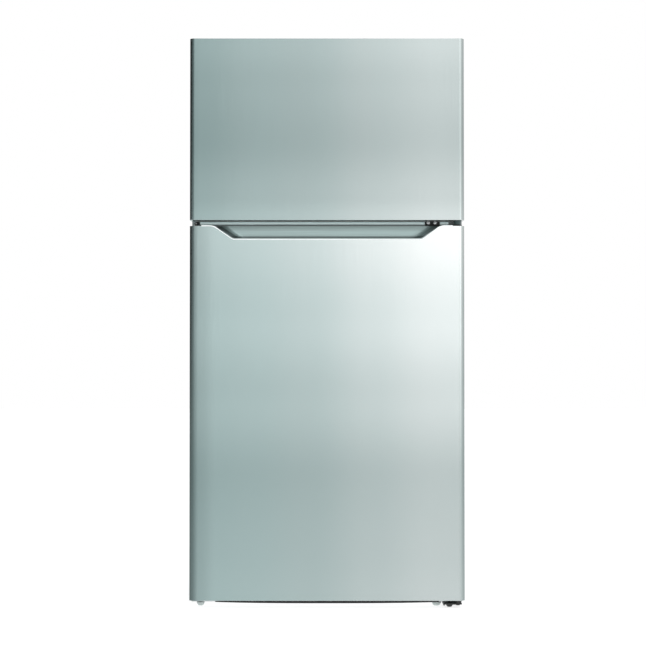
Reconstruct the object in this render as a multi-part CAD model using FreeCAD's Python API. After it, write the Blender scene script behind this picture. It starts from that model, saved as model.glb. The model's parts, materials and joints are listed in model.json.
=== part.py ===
import FreeCAD, Part
import math
import os

# A free-standing top freezer refrigerator: a foamed steel cabinet with two plastic-lined rooms, two doors
# hung on the right, a recessed grip in the top of the lower door, and the cooling circuit behind and below.
# Millimetres. X runs to the right, Y from the door fronts to the back, Z up. The origin is on the floor
# under the middle of the whole object. Every node is at rest: both doors shut.

Vector = FreeCAD.Vector
X_AXIS = Vector(1, 0, 0)
Y_AXIS = Vector(0, 1, 0)
Z_AXIS = Vector(0, 0, 1)

# ---- driving dimensions ----
DOOR_HALF = 356.5           # half the doors' width
DOOR_FRONT = -368.0
DOOR_BACK = -316.0          # back of the doors' steel
FLANGE_BACK = -314.0        # back of the door linings' flange, where the gaskets sit
CAB_HALF = 354.0            # half the cabinet's width
CAB_FRONT = -304.0          # the face that the gaskets close on
REAR = 366.0                # back edge of the cabinet's sides
REAR_FACE = 368.0
BASE = 12.0                 # underside of the cabinet
TOP = 1476.0                # top of the cabinet
SHEET = 1.0                 # steel sheet
PLASTIC = 2.0               # formed plastic sheet
FRONT_RETURN = 30.0         # width of the steel turned in round the front
RAIL_TOP = 61.0             # top of the base's front rail
RAIL_BACK = -268.0
MULLION = (965.0, 1032.0)   # lower and upper edge of the steel between the rooms

FRIDGE_DOOR = (21.0, 990.0)         # bottom and top of the fridge door
FREEZER_DOOR = (1005.5, 1478.5)
SKIN_CORNER = 12.0                  # outside radius of the panels' upright corners
SKIN_RETURN = 12.0                  # width of the panels' edge turned in at the back
FOOT_CORNER = 5.0                   # radius of the panels' lower corners seen from the front
CAP_DEPTH = 20.0                    # height of the doors' end caps
CAP_WALL = 2.5

FRIDGE_ROOM = (306.5, 84.0, 957.0)  # half width, floor, ceiling, all on the lining's inner face
FREEZER_ROOM = (294.5, 1040.0, 1418.0)
ROOM_BACK = 296.0
ROOM_CORNER = 16.0
STEP_Y = 98.0               # the fridge room's floor steps up here, over the machine room
STEP_Z = 300.0
MACHINE_Y = 148.0           # front and roof of the machine room
MACHINE_Z = 251.0
DIVIDER_Z = 996.0           # height where the side walls' thickness changes
DUCT = (42.0, 234.0)        # half width and front of the duct through the divider

PIN_X = 339.5               # the doors' common hinge axis
PIN_Y = -340.0
PIN_R = 5.0
PIN_BORE_R = 5.06
BOSS_R = 12.0
PIN_REACH = 20.0            # how far each hinge pin reaches into its door
SCREW_R = 2.5
SCREW_HOLE_R = 2.6

GRIP_BOTTOM = 958.0         # lower edge of the grip's notch in the panel
GRIP_FLOOR = 926.0
GRIP_BACK = -331.0
GRIP_TOP_X = (-293.0, 293.0)
GRIP_BOTTOM_X = (-243.0, 245.0)
GRIP_WALL = 2.5
GRIP_TOP_R = 36.0           # rounding where the notch meets the door's top
GRIP_BOTTOM_R = 16.0
FINGER_HALF = 45.0          # half width of the recess under the freezer door

DYKE_OUT = 46.0             # how far the door linings' ridges stand into the rooms
DYKE_W = 30.0               # width of a ridge
DYKE_GAP = 14.5             # from a ridge to the room's wall
GASKET_W = 20.0
GASKET_X = 337.0
GASKET_BACK = CAB_FRONT - 0.5
FRIDGE_GASKET = (44.0, 980.0)
FREEZER_GASKET = (1015.5, 1460.0)

BIN_REACH = -221.0          # the bins' furthest point into the rooms
BIN_WALL = 2.5
BIN_RIM = 8.5               # how far a bin's rim stands out to each side
FRIDGE_BINS = {"lower": (136.0, 250.0), "middle": (430.0, 530.0), "upper": (690.0, 785.0)}
FREEZER_BINS = {"lower": (1092.0, 1180.0), "upper": (1245.0, 1330.0)}

SHELF_HEIGHTS = (520.0, 735.0)      # undersides of the two glass shelves
CRISPER_COVER = 296.0
FREEZER_SHELF = 1222.0
LEDGE = 8.0
GLASS = 4.0
SHELF_FRONT = -200.0
CRISPER_X = (5.0, 295.0)
CRISPER_Y = (-205.0, 90.0)
CRISPER_Z = (90.0, 284.0)

FOOT_Y = -287.0
FOOT_LEFT_X = -331.0
FOOT_RIGHT_X = 287.0
FOOT_R = 5.0
HINGE_FOOT = (319.0, -318.0)
ROLLER_X = 318.0
ROLLER_Y = 325.0
ROLLER_R = 16.0
AXLE_R = 4.0
PLATE_Z = 40.0              # underside of the compressor's base plate

FAN_Z = 1362.0
COVER_Y = 235.0             # front of the evaporator's cover
HOUSING = (150.0, -250.0, -30.0, 917.0)     # control housing: half width, front, back, underside
KNOB = (60.0, -180.0)
SLIDER_X = -60.0
SWITCH = (120.0, 930.0)     # x and z of the door switch's plunger
GLAND = (250.0, 120.0)      # x and z of the mains cord's gland
COMPRESSOR = (-140.0, 255.0)
CLEAR = 0.06                # radial clearance of turning fits

made = {}


# ---- small helpers ----
def box(x0, x1, y0, y1, z0, z1):
    return Part.makeBox(x1 - x0, y1 - y0, z1 - z0, Vector(x0, y0, z0))


def rod(radius, start, direction, length):
    return Part.makeCylinder(radius, length, Vector(*start), direction)


def fillet(shape, radius, wanted):
    """Rounds the edges whose middle point and direction pass the test `wanted(centre, direction)`."""
    edges = []
    for edge in shape.Edges:
        if edge.Curve.TypeId == "Part::GeomLine" and wanted(edge.CenterOfMass, edge.Curve.Direction):
            edges.append(edge)
    return shape.makeFillet(radius, edges)


def near(a, b):
    return abs(a - b) < 0.01


def fuse(shapes):
    return shapes[0].multiFuse(shapes[1:]).removeSplitter()


def mirrored(shape):
    return shape.mirror(Vector(0, 0, 0), X_AXIS)


def rounded_outline(points, radii, plane):
    """A closed outline through the points with rounded corners. `plane` maps (u, v) to a vector."""
    count = len(points)
    starts, arcs = [], []
    for i, corner in enumerate(points):
        here = plane(*corner)
        before = (plane(*points[i - 1]) - here).normalize()
        after = (plane(*points[(i + 1) % count]) - here).normalize()
        half = before.getAngle(after) / 2
        if radii[i] < 0.01:
            starts.append((here, here))
            arcs.append(None)
            continue
        back = radii[i] / math.tan(half)
        first, last = here + before * back, here + after * back
        middle = here + (before + after).normalize() * (radii[i] / math.sin(half) - radii[i])
        starts.append((first, last))
        arcs.append(Part.Arc(first, middle, last).toShape())
    edges = []
    for i in range(count):
        if arcs[i]:
            edges.append(arcs[i])
        leave, arrive = starts[i][1], starts[(i + 1) % count][0]
        if leave.distanceToPoint(arrive) > 0.001:
            edges.append(Part.LineSegment(leave, arrive).toShape())
    return Part.Wire(edges)


def prism(points, axis, start, length, radii=None):
    """A prism on a rounded outline: (x, y) points for axis z, (x, z) for axis y and (y, z) for axis x."""
    planes = {
        "x": lambda u, v: Vector(start, u, v),
        "y": lambda u, v: Vector(u, start, v),
        "z": lambda u, v: Vector(u, v, start),
    }
    along = {"x": X_AXIS, "y": Y_AXIS, "z": Z_AXIS}[axis]
    outline = rounded_outline(points, radii or [0] * len(points), planes[axis])
    return Part.Face(outline).extrude(along * length)


def pipe(points, bend, radius):
    """A round tube along straight runs joined by bends of one radius."""
    edges, at = [], Vector(*points[0])
    for i in range(1, len(points) - 1):
        corner = Vector(*points[i])
        before = (Vector(*points[i - 1]) - corner).normalize()
        after = (Vector(*points[i + 1]) - corner).normalize()
        half = before.getAngle(after) / 2
        back = bend / math.tan(half)
        first, last = corner + before * back, corner + after * back
        middle = corner + (before + after).normalize() * (bend / math.sin(half) - bend)
        if at.distanceToPoint(first) > 0.01:
            edges.append(Part.LineSegment(at, first).toShape())
        edges.append(Part.Arc(first, middle, last).toShape())
        at = last
    edges.append(Part.LineSegment(at, Vector(*points[-1])).toShape())
    path = Part.Wire(edges)
    heading = (Vector(*points[1]) - Vector(*points[0])).normalize()
    section = Part.Wire(Part.makeCircle(radius, Vector(*points[0]), heading))
    return path.makePipeShell([section], True, False)


def screw(head, direction, depth):
    """A pan-head screw: `head` is the middle of the face it bears on, `direction` points into the work."""
    into = Vector(*direction)
    seat = Vector(*head)
    shank = Part.makeCylinder(SCREW_R, depth, seat, into)
    cap = Part.makeCylinder(5.0, 3.2, seat, into * -1)
    crown = seat - into * 3.2
    cap = cap.makeFillet(1.4, [e for e in cap.Edges if e.CenterOfMass.distanceToPoint(crown) < 0.1])
    slot = Part.makeBox(6.0, 1.2, 1.2, Vector(-3.0, -0.6, 0))
    cross = slot.fuse(Part.makeBox(1.2, 6.0, 1.2, Vector(-0.6, -3.0, 0)))
    cross.Placement = FreeCAD.Placement(seat - into * 3.3, FreeCAD.Rotation(Z_AXIS, into))
    return cap.fuse(shank).cut(cross).removeSplitter()


def keep(name, *solids):
    made[name] = Part.makeCompound(list(solids)) if len(solids) > 1 else solids[0]


def both(shape):
    """The shape and its mirror image across the middle plane."""
    return [shape, mirrored(shape)]


def cut_all(shape, tools):
    return shape.cut(tools[0].multiFuse(tools[1:]) if len(tools) > 1 else tools[0])


def ring_xz(half, z0, z1, width, y0, y1):
    """A rectangular frame standing in the XZ plane, `width` wide inside its outline."""
    outer = box(-half, half, y0, y1, z0, z1)
    return outer.cut(box(-half + width, half - width, y0 - 1, y1 + 1, z0 + width, z1 - width))


def tray(x0, x1, y0, y1, z0, z1, wall, corner):
    """A box open at the top with rounded upright corners and a rounded foot."""
    outer = fillet(box(x0, x1, y0, y1, z0, z1), corner, lambda c, d: abs(d.z) > 0.9)
    inner = box(x0 + wall, x1 - wall, y0 + wall, y1 - wall, z0 + wall, z1 + 5)
    return outer.cut(fillet(inner, corner - wall, lambda c, d: abs(d.z) > 0.9))


# ---- cabinet shell ----
def cabinet_shell():
    side = box(-CAB_HALF, -CAB_HALF + SHEET, CAB_FRONT, REAR, BASE, TOP)
    turned = box(-CAB_HALF, -CAB_HALF + FRONT_RETURN, CAB_FRONT, CAB_FRONT + SHEET, BASE, TOP)
    left = side.fuse(turned).removeSplitter()
    left = fillet(left, 0.9, lambda c, d: abs(d.z) > 0.9 and near(c.x, -CAB_HALF) and near(c.y, CAB_FRONT))
    keep("side_panel_left", left)
    keep("side_panel_right", mirrored(left))

    inside = CAB_HALF - SHEET
    opening = CAB_HALF - FRONT_RETURN
    lid = box(-inside, inside, CAB_FRONT + SHEET, REAR, TOP - SHEET, TOP)
    brow_bottom = FREEZER_ROOM[2] + 18
    brow = box(-opening, opening, CAB_FRONT, CAB_FRONT + SHEET, brow_bottom, TOP)
    lid = fuse([lid, brow])
    holes = [rod(SCREW_HOLE_R, (x, y, TOP - 5), Z_AXIS, 10) for x, y in top_hinge_screws()]
    keep("top_panel", cut_all(lid, holes))

    back = box(-CAB_HALF, CAB_HALF, REAR, REAR + SHEET, MACHINE_Z - 6, TOP)
    swell = box(-CAB_HALF + 34, CAB_HALF - 34, REAR, REAR_FACE, MACHINE_Z + 30, TOP - 36)
    hollow = box(-CAB_HALF + 35, CAB_HALF - 35, REAR - 1, REAR + SHEET, MACHINE_Z + 31, TOP - 37)
    keep("rear_panel", back.fuse(swell).cut(hollow).removeSplitter())


def base():
    inside = CAB_HALF - SHEET
    opening = CAB_HALF - FRONT_RETURN
    floor = box(-inside, inside, CAB_FRONT + SHEET, MACHINE_Y, BASE, BASE + SHEET)
    front = box(-opening, opening, CAB_FRONT, CAB_FRONT + SHEET, BASE, RAIL_TOP)
    rail_top = box(-inside, inside, CAB_FRONT + SHEET, RAIL_BACK, RAIL_TOP - SHEET, RAIL_TOP)
    rail_back = box(-inside, inside, RAIL_BACK - SHEET, RAIL_BACK, BASE, RAIL_TOP)
    wall = box(-inside, inside, MACHINE_Y - SHEET, MACHINE_Y, BASE, MACHINE_Z)
    roof = box(-inside, inside, MACHINE_Y - SHEET, REAR, MACHINE_Z - SHEET, MACHINE_Z)
    holes = [rod(FOOT_R + CLEAR, (x, FOOT_Y, 0), Z_AXIS, 30) for x in (FOOT_LEFT_X, FOOT_RIGHT_X)]
    holes += [rod(SCREW_HOLE_R, (x, y, 0), Z_AXIS, 30) for x, y in lower_hinge_screws()]
    keep("base_pan", cut_all(fuse([floor, front, rail_top, rail_back, wall, roof]), holes))


def mullion():
    opening = CAB_HALF - FRONT_RETURN
    low, high = MULLION
    face = box(-opening, opening, CAB_FRONT, CAB_FRONT + SHEET, low, high)
    lip = CAB_FRONT + PLASTIC
    ribs = [box(-opening, opening, CAB_FRONT, lip, z, z + SHEET) for z in (low, high - SHEET)]
    holes = [rod(SCREW_HOLE_R, (x, CAB_FRONT - 5, z), Y_AXIS, 20) for x, z in middle_hinge_screws()]
    keep("front_mullion", cut_all(fuse([face] + ribs), holes))


def foam():
    inside = CAB_HALF - SHEET
    fridge = FRIDGE_ROOM[0] + PLASTIC
    freezer = FREEZER_ROOM[0] + PLASTIC
    front = CAB_FRONT + PLASTIC
    deck = front + PLASTIC
    back = ROOM_BACK + PLASTIC
    roof = TOP - SHEET
    machine = MACHINE_Y - SHEET
    base_z = BASE + SHEET
    slabs = []
    for y0, y1, z0, z1 in (
        (RAIL_BACK, machine, base_z, RAIL_TOP),
        (front, machine, RAIL_TOP, MACHINE_Z),
        (front, REAR, MACHINE_Z, DIVIDER_Z),
    ):
        slabs += both(box(-inside, -fridge, y0, y1, z0, z1))
    slabs += both(box(-inside, -freezer, front, REAR, DIVIDER_Z, roof))
    slabs.append(box(-fridge, fridge, RAIL_BACK, machine, base_z, RAIL_TOP))
    slabs.append(box(-fridge, fridge, front, machine, RAIL_TOP, FRIDGE_ROOM[1] - PLASTIC))
    slabs.append(box(-fridge, fridge, STEP_Y + PLASTIC, machine, FRIDGE_ROOM[1] - PLASTIC, MACHINE_Z))
    slabs.append(box(-fridge, fridge, STEP_Y + PLASTIC, back, MACHINE_Z, STEP_Z - PLASTIC))
    slabs.append(box(-fridge, fridge, back, REAR, MACHINE_Z, DIVIDER_Z))
    slabs.append(box(-freezer, freezer, back, REAR, DIVIDER_Z, roof))
    slabs.append(box(-freezer, freezer, front, back, FREEZER_ROOM[2] + PLASTIC, roof))
    layers = (
        (fridge, FRIDGE_ROOM[2] + PLASTIC, DIVIDER_Z),
        (freezer, DIVIDER_Z, FREEZER_ROOM[1] - PLASTIC),
    )
    for half, z0, z1 in layers:
        slabs.append(box(-half, half, deck, DUCT[1], z0, z1))
        slabs += both(box(-half, -DUCT[0], DUCT[1], back, z0, z1))
    keep("cabinet_foam", *slabs)


# ---- linings ----
def ledge_pair(half, z, y0, y1):
    return both(box(-half - 1, -half + LEDGE, y0, y1, z - 6, z))


def fridge_liner():
    half, low, high = FRIDGE_ROOM
    front = CAB_FRONT
    outer = half + PLASTIC
    roof = high + PLASTIC
    shell = fuse([
        box(-outer, outer, front + PLASTIC, STEP_Y + PLASTIC, low - PLASTIC, roof),
        box(-outer, outer, STEP_Y, ROOM_BACK + PLASTIC, STEP_Z - PLASTIC, roof),
    ])
    flange_half = CAB_HALF - FRONT_RETURN
    flange = box(-flange_half, flange_half, front, front + PLASTIC, RAIL_TOP, MULLION[0])
    room = fuse([
        box(-half, half, front - 10, STEP_Y, low, high),
        box(-half, half, STEP_Y - 10, ROOM_BACK, STEP_Z, high),
    ])
    room = fillet(room, ROOM_CORNER,
                  lambda c, d: near(c.y, ROOM_BACK) or (near(c.y, STEP_Y) and near(c.z, low)))
    ledges = []
    for z in SHELF_HEIGHTS:
        ledges += ledge_pair(half, z, -180, 252)
    ledges += ledge_pair(half, CRISPER_COVER, -180, 82)
    for x in (28.0, 264.0):
        ledges += both(box(-x - 6, -x, -195, STEP_Y + 1, low - 1, CRISPER_Z[0] - 0.4))
    vent = box(-DUCT[0] + 3, DUCT[0] - 3, DUCT[1] + 3, ROOM_BACK - 2, high - 5, high + 5)
    keep("fridge_liner", fuse([shell.fuse(flange).cut(room)] + ledges).cut(vent))


def freezer_liner():
    half, low, high = FREEZER_ROOM
    front = CAB_FRONT
    outer = half + PLASTIC
    shell = box(-outer, outer, front + PLASTIC, ROOM_BACK + PLASTIC, low - PLASTIC, high + PLASTIC)
    flange_half = CAB_HALF - FRONT_RETURN
    flange = box(-flange_half, flange_half, front, front + PLASTIC, MULLION[1], high + 18)
    room = box(-half, half, front - 10, ROOM_BACK, low, high)
    room = fillet(room, ROOM_CORNER, lambda c, d: near(c.y, ROOM_BACK))
    ledges = ledge_pair(half, FREEZER_SHELF, -180, 225)
    vent = box(-DUCT[0] + 3, DUCT[0] - 3, DUCT[1] + 3, ROOM_BACK - 2, low - 5, low + 5)
    keep("freezer_liner", fuse([shell.fuse(flange).cut(room)] + ledges).cut(vent))


# ---- doors ----
def door_block(z0, z1, inset, front, back):
    """The doors' outline, rounded at the front corners, set in by `inset`."""
    block = box(-DOOR_HALF + inset, DOOR_HALF - inset, front, back, z0, z1)
    corner = SKIN_CORNER - inset
    return fillet(block, corner, lambda c, d: abs(d.z) > 0.9 and near(c.y, front))


def round_feet(shape, z0, z1):
    outline = [(-DOOR_HALF, z0), (DOOR_HALF, z0), (DOOR_HALF, z1), (-DOOR_HALF, z1)]
    stencil = prism(outline, "y", DOOR_FRONT - 5, 100, [FOOT_CORNER, FOOT_CORNER, 0, 0])
    return shape.common(stencil)


def door_panel(z0, z1):
    outer = door_block(z0, z1, 0, DOOR_FRONT, DOOR_BACK)
    inner = door_block(z0 - 1, z1 + 1, SHEET, DOOR_FRONT + SHEET, DOOR_BACK - SHEET)
    half = DOOR_HALF - SKIN_RETURN
    opening = box(-half, half, DOOR_BACK - 5, DOOR_BACK + 1, z0 - 1, z1 + 1)
    return round_feet(outer.cut(inner).cut(opening), z0, z1)


def end_cap(z0, z1, plate_z0, plate_z1):
    """A plastic cap inside the panel's fold: a plate with a skirt, a hinge boss and a blind bore."""
    front, back = DOOR_FRONT + SHEET, DOOR_BACK - SHEET
    block = door_block(z0, z1, SHEET, front, back)
    void_low = z0 - 1 if plate_z0 > z0 + 1 else plate_z1
    void_high = plate_z0 if plate_z0 > z0 + 1 else z1 + 1
    void = door_block(void_low, void_high, SHEET + CAP_WALL, front + CAP_WALL, back - CAP_WALL)
    return block.cut(void)


def door_caps(z0, z1):
    top = end_cap(z1 - CAP_DEPTH, z1 - SHEET, z1 - SHEET - 3, z1 - SHEET)
    bottom = round_feet(end_cap(z0 + SHEET, z0 + CAP_DEPTH, z0 + SHEET, z0 + SHEET + 3), z0 + SHEET, z1)
    reach = PIN_REACH + 6
    top = top.fuse(rod(BOSS_R, (PIN_X, PIN_Y, z1 - SHEET - reach), Z_AXIS, reach))
    bottom = bottom.fuse(rod(BOSS_R, (PIN_X, PIN_Y, z0 + SHEET), Z_AXIS, reach))
    return top, bottom


def bores(z0, z1):
    depth = PIN_REACH + 2
    top = rod(PIN_BORE_R, (PIN_X, PIN_Y, z1 - SHEET - depth), Z_AXIS, depth + 20)
    bottom = rod(PIN_BORE_R, (PIN_X, PIN_Y, z0 - 30), Z_AXIS, depth + 30 + SHEET)
    return top, bottom


def dyke(room, grow):
    """The ridge ring behind a door, `grow` smaller all round for its foam core."""
    half = room[0] - DYKE_GAP - grow
    low, high = room[1] + DYKE_GAP + grow, room[2] - DYKE_GAP - grow
    back = FLANGE_BACK + DYKE_OUT - grow
    outer = box(-half, half, DOOR_BACK, back, low, high)
    outer = fillet(outer, 14 - grow, lambda c, d: abs(d.y) > 0.9)
    width = DYKE_W - 2 * grow
    inner = box(-half + width, half - width, DOOR_BACK - 1, back + 1, low + width, high - width)
    ring = outer.cut(fillet(inner, 8 + grow, lambda c, d: abs(d.y) > 0.9))
    return fillet(ring, 6 - grow, lambda c, d: near(c.y, back))


def door_liner(z0, z1, room, bins):
    half = DOOR_HALF - 6
    plate = box(-half, half, DOOR_BACK, FLANGE_BACK, z0 + 8, z1 - 8)
    plate = fillet(plate, 6, lambda c, d: abs(d.y) > 0.9)
    body = plate.fuse(dyke(room, 0)).cut(dyke(room, PLASTIC))
    inner = room[0] - DYKE_GAP - DYKE_W
    lugs = []
    for _, high in bins.values():
        lugs += both(box(-inner - 1, -inner + BIN_RIM - 0.5, FLANGE_BACK + 4, -275, high - 30, high - 3.5))
    return fuse([body] + lugs)


def door_foam(z0, z1, room, caps):
    core = door_block(z0 + SHEET, z1 - SHEET, SHEET, DOOR_FRONT + SHEET, DOOR_BACK - SHEET)
    half = DOOR_HALF - SKIN_RETURN
    pad = box(-half, half, DOOR_BACK - 1.5, DOOR_BACK, z0 + SHEET, z1 - SHEET)
    return round_feet(core.fuse(pad), z0 + SHEET, z1).fuse(dyke(room, PLASTIC)).cut(caps)


def gasket(span):
    """A soft frame with a magnet pocket at the back and a bellows fold round its side."""
    low, high = span
    body = ring_xz(GASKET_X, low, high, GASKET_W, FLANGE_BACK, GASKET_BACK)
    body = fillet(body, 2, lambda c, d: near(c.y, GASKET_BACK))
    fold_y = FLANGE_BACK + 3
    outer = box(-GASKET_X - 1, GASKET_X + 1, fold_y, fold_y + 2, low - 1, high + 1)
    return body.cut(outer.cut(box(-GASKET_X + 5, GASKET_X - 5, fold_y - 1, fold_y + 3, low + 5, high - 5)))


def door_bin(room, low, high):
    inner = room[0] - DYKE_GAP - DYKE_W
    half = inner - BIN_RIM - 1.5
    y0 = FLANGE_BACK + 1
    body = tray(-half, half, y0, BIN_REACH, low, high, BIN_WALL, 14)
    rim = box(-inner + 1.5, inner - 1.5, y0, BIN_REACH - 14, high - 3, high)
    rim = rim.cut(box(-half + 1, half - 1, y0 - 1, BIN_REACH, high - 4, high + 1))
    wide, narrow = half - 60, half - 80
    dip = prism([(-wide, high + 1), (wide, high + 1), (narrow, high - 26), (-narrow, high - 26)],
                "y", BIN_REACH - 10, 20, [0, 0, 12, 12])
    return body.fuse(rim).cut(dip).removeSplitter()


def grip_notch(grow, y0, y1):
    """The notch in the door's top edge, `grow` larger all round, with its two shoulders rounded over."""
    top = FRIDGE_DOOR[1]
    left, right = GRIP_TOP_X[0] - grow, GRIP_TOP_X[1] + grow
    foot_left, foot_right = GRIP_BOTTOM_X[0] - grow, GRIP_BOTTOM_X[1] + grow
    foot = GRIP_BOTTOM - grow
    outline = [
        (left - 40, top + 6), (left - 40, top), (left, top), (foot_left, foot),
        (foot_right, foot), (right, top), (right + 40, top), (right + 40, top + 6),
    ]
    low = GRIP_BOTTOM_R + grow
    return prism(outline, "y", y0, y1 - y0, [0, 0, GRIP_TOP_R, low, low, GRIP_TOP_R, 0, 0])


def grip_well(grow, y0):
    x0, x1 = GRIP_BOTTOM_X
    well = box(x0 + 8 - grow, x1 - 8 + grow, y0, GRIP_BACK + grow, GRIP_FLOOR - grow, GRIP_BOTTOM + 6)
    return fillet(well, 7 + grow, lambda c, d: near(c.z, GRIP_FLOOR - grow))


def fridge_door():
    z0, z1 = FRIDGE_DOOR
    top, bottom = door_caps(z0, z1)
    bore_top, bore_bottom = bores(z0, z1)
    notch = grip_notch(GRIP_WALL, DOOR_FRONT - 5, GRIP_BACK + GRIP_WALL)
    keep("fridge_door_panel", door_panel(z0, z1).cut(notch))

    shell = grip_notch(GRIP_WALL, DOOR_FRONT, GRIP_BACK + GRIP_WALL)
    well = grip_well(GRIP_WALL, DOOR_FRONT + SHEET)
    shell = shell.fuse(well).common(box(-DOOR_HALF, DOOR_HALF, DOOR_FRONT, DOOR_BACK, z0, z1))
    cavity = grip_notch(0, DOOR_FRONT - 5, GRIP_BACK).fuse(grip_well(0, DOOR_FRONT + SHEET + GRIP_WALL))
    top = top.cut(well).fuse(shell).cut(cavity).removeSplitter()
    bottom = bottom.removeSplitter()
    bins = FRIDGE_BINS
    stop = top.fuse(bottom).fuse(cavity)
    keep("fridge_door_foam", door_foam(z0, z1, FRIDGE_ROOM, stop))
    keep("fridge_door_top_cap", top.cut(bore_top))
    keep("fridge_door_bottom_cap", bottom.cut(bore_bottom))
    keep("fridge_door_liner", door_liner(z0, z1, FRIDGE_ROOM, bins))
    keep("fridge_door_gasket", gasket(FRIDGE_GASKET))
    for name, (low, high) in bins.items():
        keep("fridge_bin_" + name, door_bin(FRIDGE_ROOM, low, high))


def freezer_door():
    z0, z1 = FREEZER_DOOR
    top, bottom = door_caps(z0, z1)
    bore_top, bore_bottom = bores(z0, z1)
    keep("freezer_door_panel", door_panel(z0, z1))

    recess = box(-FINGER_HALF, FINGER_HALF, DOOR_FRONT + 5, -334, z0 - 1, z0 + 22)
    recess = fillet(recess, 6, lambda c, d: near(c.z, z0 + 22))
    pocket = box(-FINGER_HALF - 2, FINGER_HALF + 2, DOOR_FRONT + 3, -332, z0 + SHEET, z0 + 24)
    spacer = rod(8.5, (PIN_X, PIN_Y, z0 - 10.2), Z_AXIS, 15)
    bottom = bottom.fuse(pocket).fuse(spacer).cut(recess).removeSplitter()
    top = top.removeSplitter()
    bins = FREEZER_BINS
    keep("freezer_door_foam", door_foam(z0, z1, FREEZER_ROOM, top.fuse(bottom).fuse(recess)))
    keep("freezer_door_top_cap", top.cut(bore_top))
    keep("freezer_door_bottom_cap", bottom.cut(bore_bottom))
    keep("freezer_door_liner", door_liner(z0, z1, FREEZER_ROOM, bins))
    keep("freezer_door_gasket", gasket(FREEZER_GASKET))
    for name, (low, high) in bins.items():
        keep("freezer_bin_" + name, door_bin(FREEZER_ROOM, low, high))


# ---- hinges ----
def top_hinge_screws():
    return [(310.0, -285.0), (336.0, -285.0), (323.0, -240.0)]


def middle_hinge_screws():
    return [(266.0, 1003.0), (284.0, 1003.0)]


def lower_hinge_screws():
    return [(314.0, -252.0), (341.0, -252.0)]


def top_hinge():
    foot = prism([(300, -302), (348, -302), (348, -270), (332, -225), (312, -225), (300, -270)],
                 "z", TOP, 2.5, [3, 3, 8, 8, 8, 8])
    rise = box(304, 348, -307, -302, TOP, TOP + 5.3)
    arm = prism([(304, -305), (350, -305), (352, -352), (326, -352)], "z", TOP + 3.3, 2.0, [2, 2, 11, 11])
    pin = rod(PIN_R, (PIN_X, PIN_Y, FREEZER_DOOR[1] - SHEET - PIN_REACH), Z_AXIS, PIN_REACH + 3)
    holes = [rod(SCREW_HOLE_R, (x, y, TOP - 5), Z_AXIS, 20) for x, y in top_hinge_screws()]
    keep("top_hinge", cut_all(fuse([foot, rise, arm, pin]), holes))


def top_hinge_cover():
    outline = [
        (-347.0, TOP + 6.3), (-310.0, TOP + 6.5), (-292.0, TOP + 13.0), (-226.0, TOP + 13.0), (-216.0, TOP),
        (-219.0, TOP), (-228.0, TOP + 11.4), (-291.0, TOP + 11.4), (-309.0, TOP + 5.4), (-347.0, TOP + 5.3),
    ]
    lid = prism(outline, "x", 296, 56)
    cheeks = []
    side = [(-300, TOP), (-300, TOP + 8.0), (-291, TOP + 12), (-227, TOP + 12), (-217, TOP)]
    for x in (296.0, 350.0):
        cheeks.append(prism(side, "x", x, 2.0))
    keep("top_hinge_cover", fuse([lid] + cheeks))


def middle_hinge():
    flange = prism([(258, 983), (295, 983), (295, 1012), (258, 1012)], "y", CAB_FRONT - 3, 3, [3, 3, 3, 3])
    arm = prism([(262, -304), (350, -304), (352, -340), (345, -353), (330, -353)], "z", 991.5, 3,
                [0, 4, 10, 6, 10])
    web = box(296, 345, CAB_FRONT - 3, CAB_FRONT, 983, 993)
    up = rod(PIN_R, (PIN_X, PIN_Y, 993), Z_AXIS, FREEZER_DOOR[0] + SHEET + PIN_REACH - 993)
    down = rod(PIN_R, (PIN_X, PIN_Y, FRIDGE_DOOR[1] - SHEET - PIN_REACH), Z_AXIS, PIN_REACH + 4)
    holes = [rod(SCREW_HOLE_R, (x, CAB_FRONT - 8, z), Y_AXIS, 16) for x, z in middle_hinge_screws()]
    keep("middle_hinge", cut_all(fuse([flange, web, arm, up, down]), holes))


def lower_hinge():
    plate = prism([(303, -346), (311, -352), (350, -352), (350, -238), (303, -238)], "z", BASE - 3, 3,
                  [4, 4, 8, 4, 4])
    lip = prism([(303, -332), (306, -332), (306, -240), (303, -240)], "z", BASE - 7.5, 6)
    pin = rod(PIN_R, (PIN_X, PIN_Y, 6.5), Z_AXIS, FRIDGE_DOOR[0] + SHEET + PIN_REACH - 6.5)
    collar = rod(9.0, (PIN_X, PIN_Y, BASE - 1), Z_AXIS, FRIDGE_DOOR[0] - BASE + 0.6)
    holes = [rod(SCREW_HOLE_R, (x, y, 0), Z_AXIS, 20) for x, y in lower_hinge_screws()]
    holes.append(rod(AXLE_R + CLEAR, (HINGE_FOOT[0], HINGE_FOOT[1], 0), Z_AXIS, 20))
    keep("lower_hinge", cut_all(fuse([plate, lip, pin, collar]), holes))


def screws():
    pieces = [screw((x, y, TOP + 2.5), (0, 0, -1), 3.5) for x, y in top_hinge_screws()]
    pieces += [screw((x, CAB_FRONT - 3, z), (0, 1, 0), 4.0) for x, z in middle_hinge_screws()]
    pieces += [screw((x, y, BASE - 3), (0, 0, 1), 4.0) for x, y in lower_hinge_screws()]
    keep("hinge_screws", *pieces)


# ---- feet and rollers ----
def levelling_foot(x, y, stem_r, stem_top, pad_r):
    pad = rod(pad_r, (x, y, 0), Z_AXIS, 6)
    ground = Vector(x, y, 0)
    pad = pad.makeFillet(1.5, [e for e in pad.Edges if e.CenterOfMass.distanceToPoint(ground) < 0.1])
    flats = [(x + pad_r * 0.62 * math.cos(a), y + pad_r * 0.62 * math.sin(a))
             for a in [math.radians(60 * i) for i in range(6)]]
    nut = prism(flats, "z", 5, 4)
    return fuse([pad, nut, rod(stem_r, (x, y, 5), Z_AXIS, stem_top - 5)])


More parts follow.
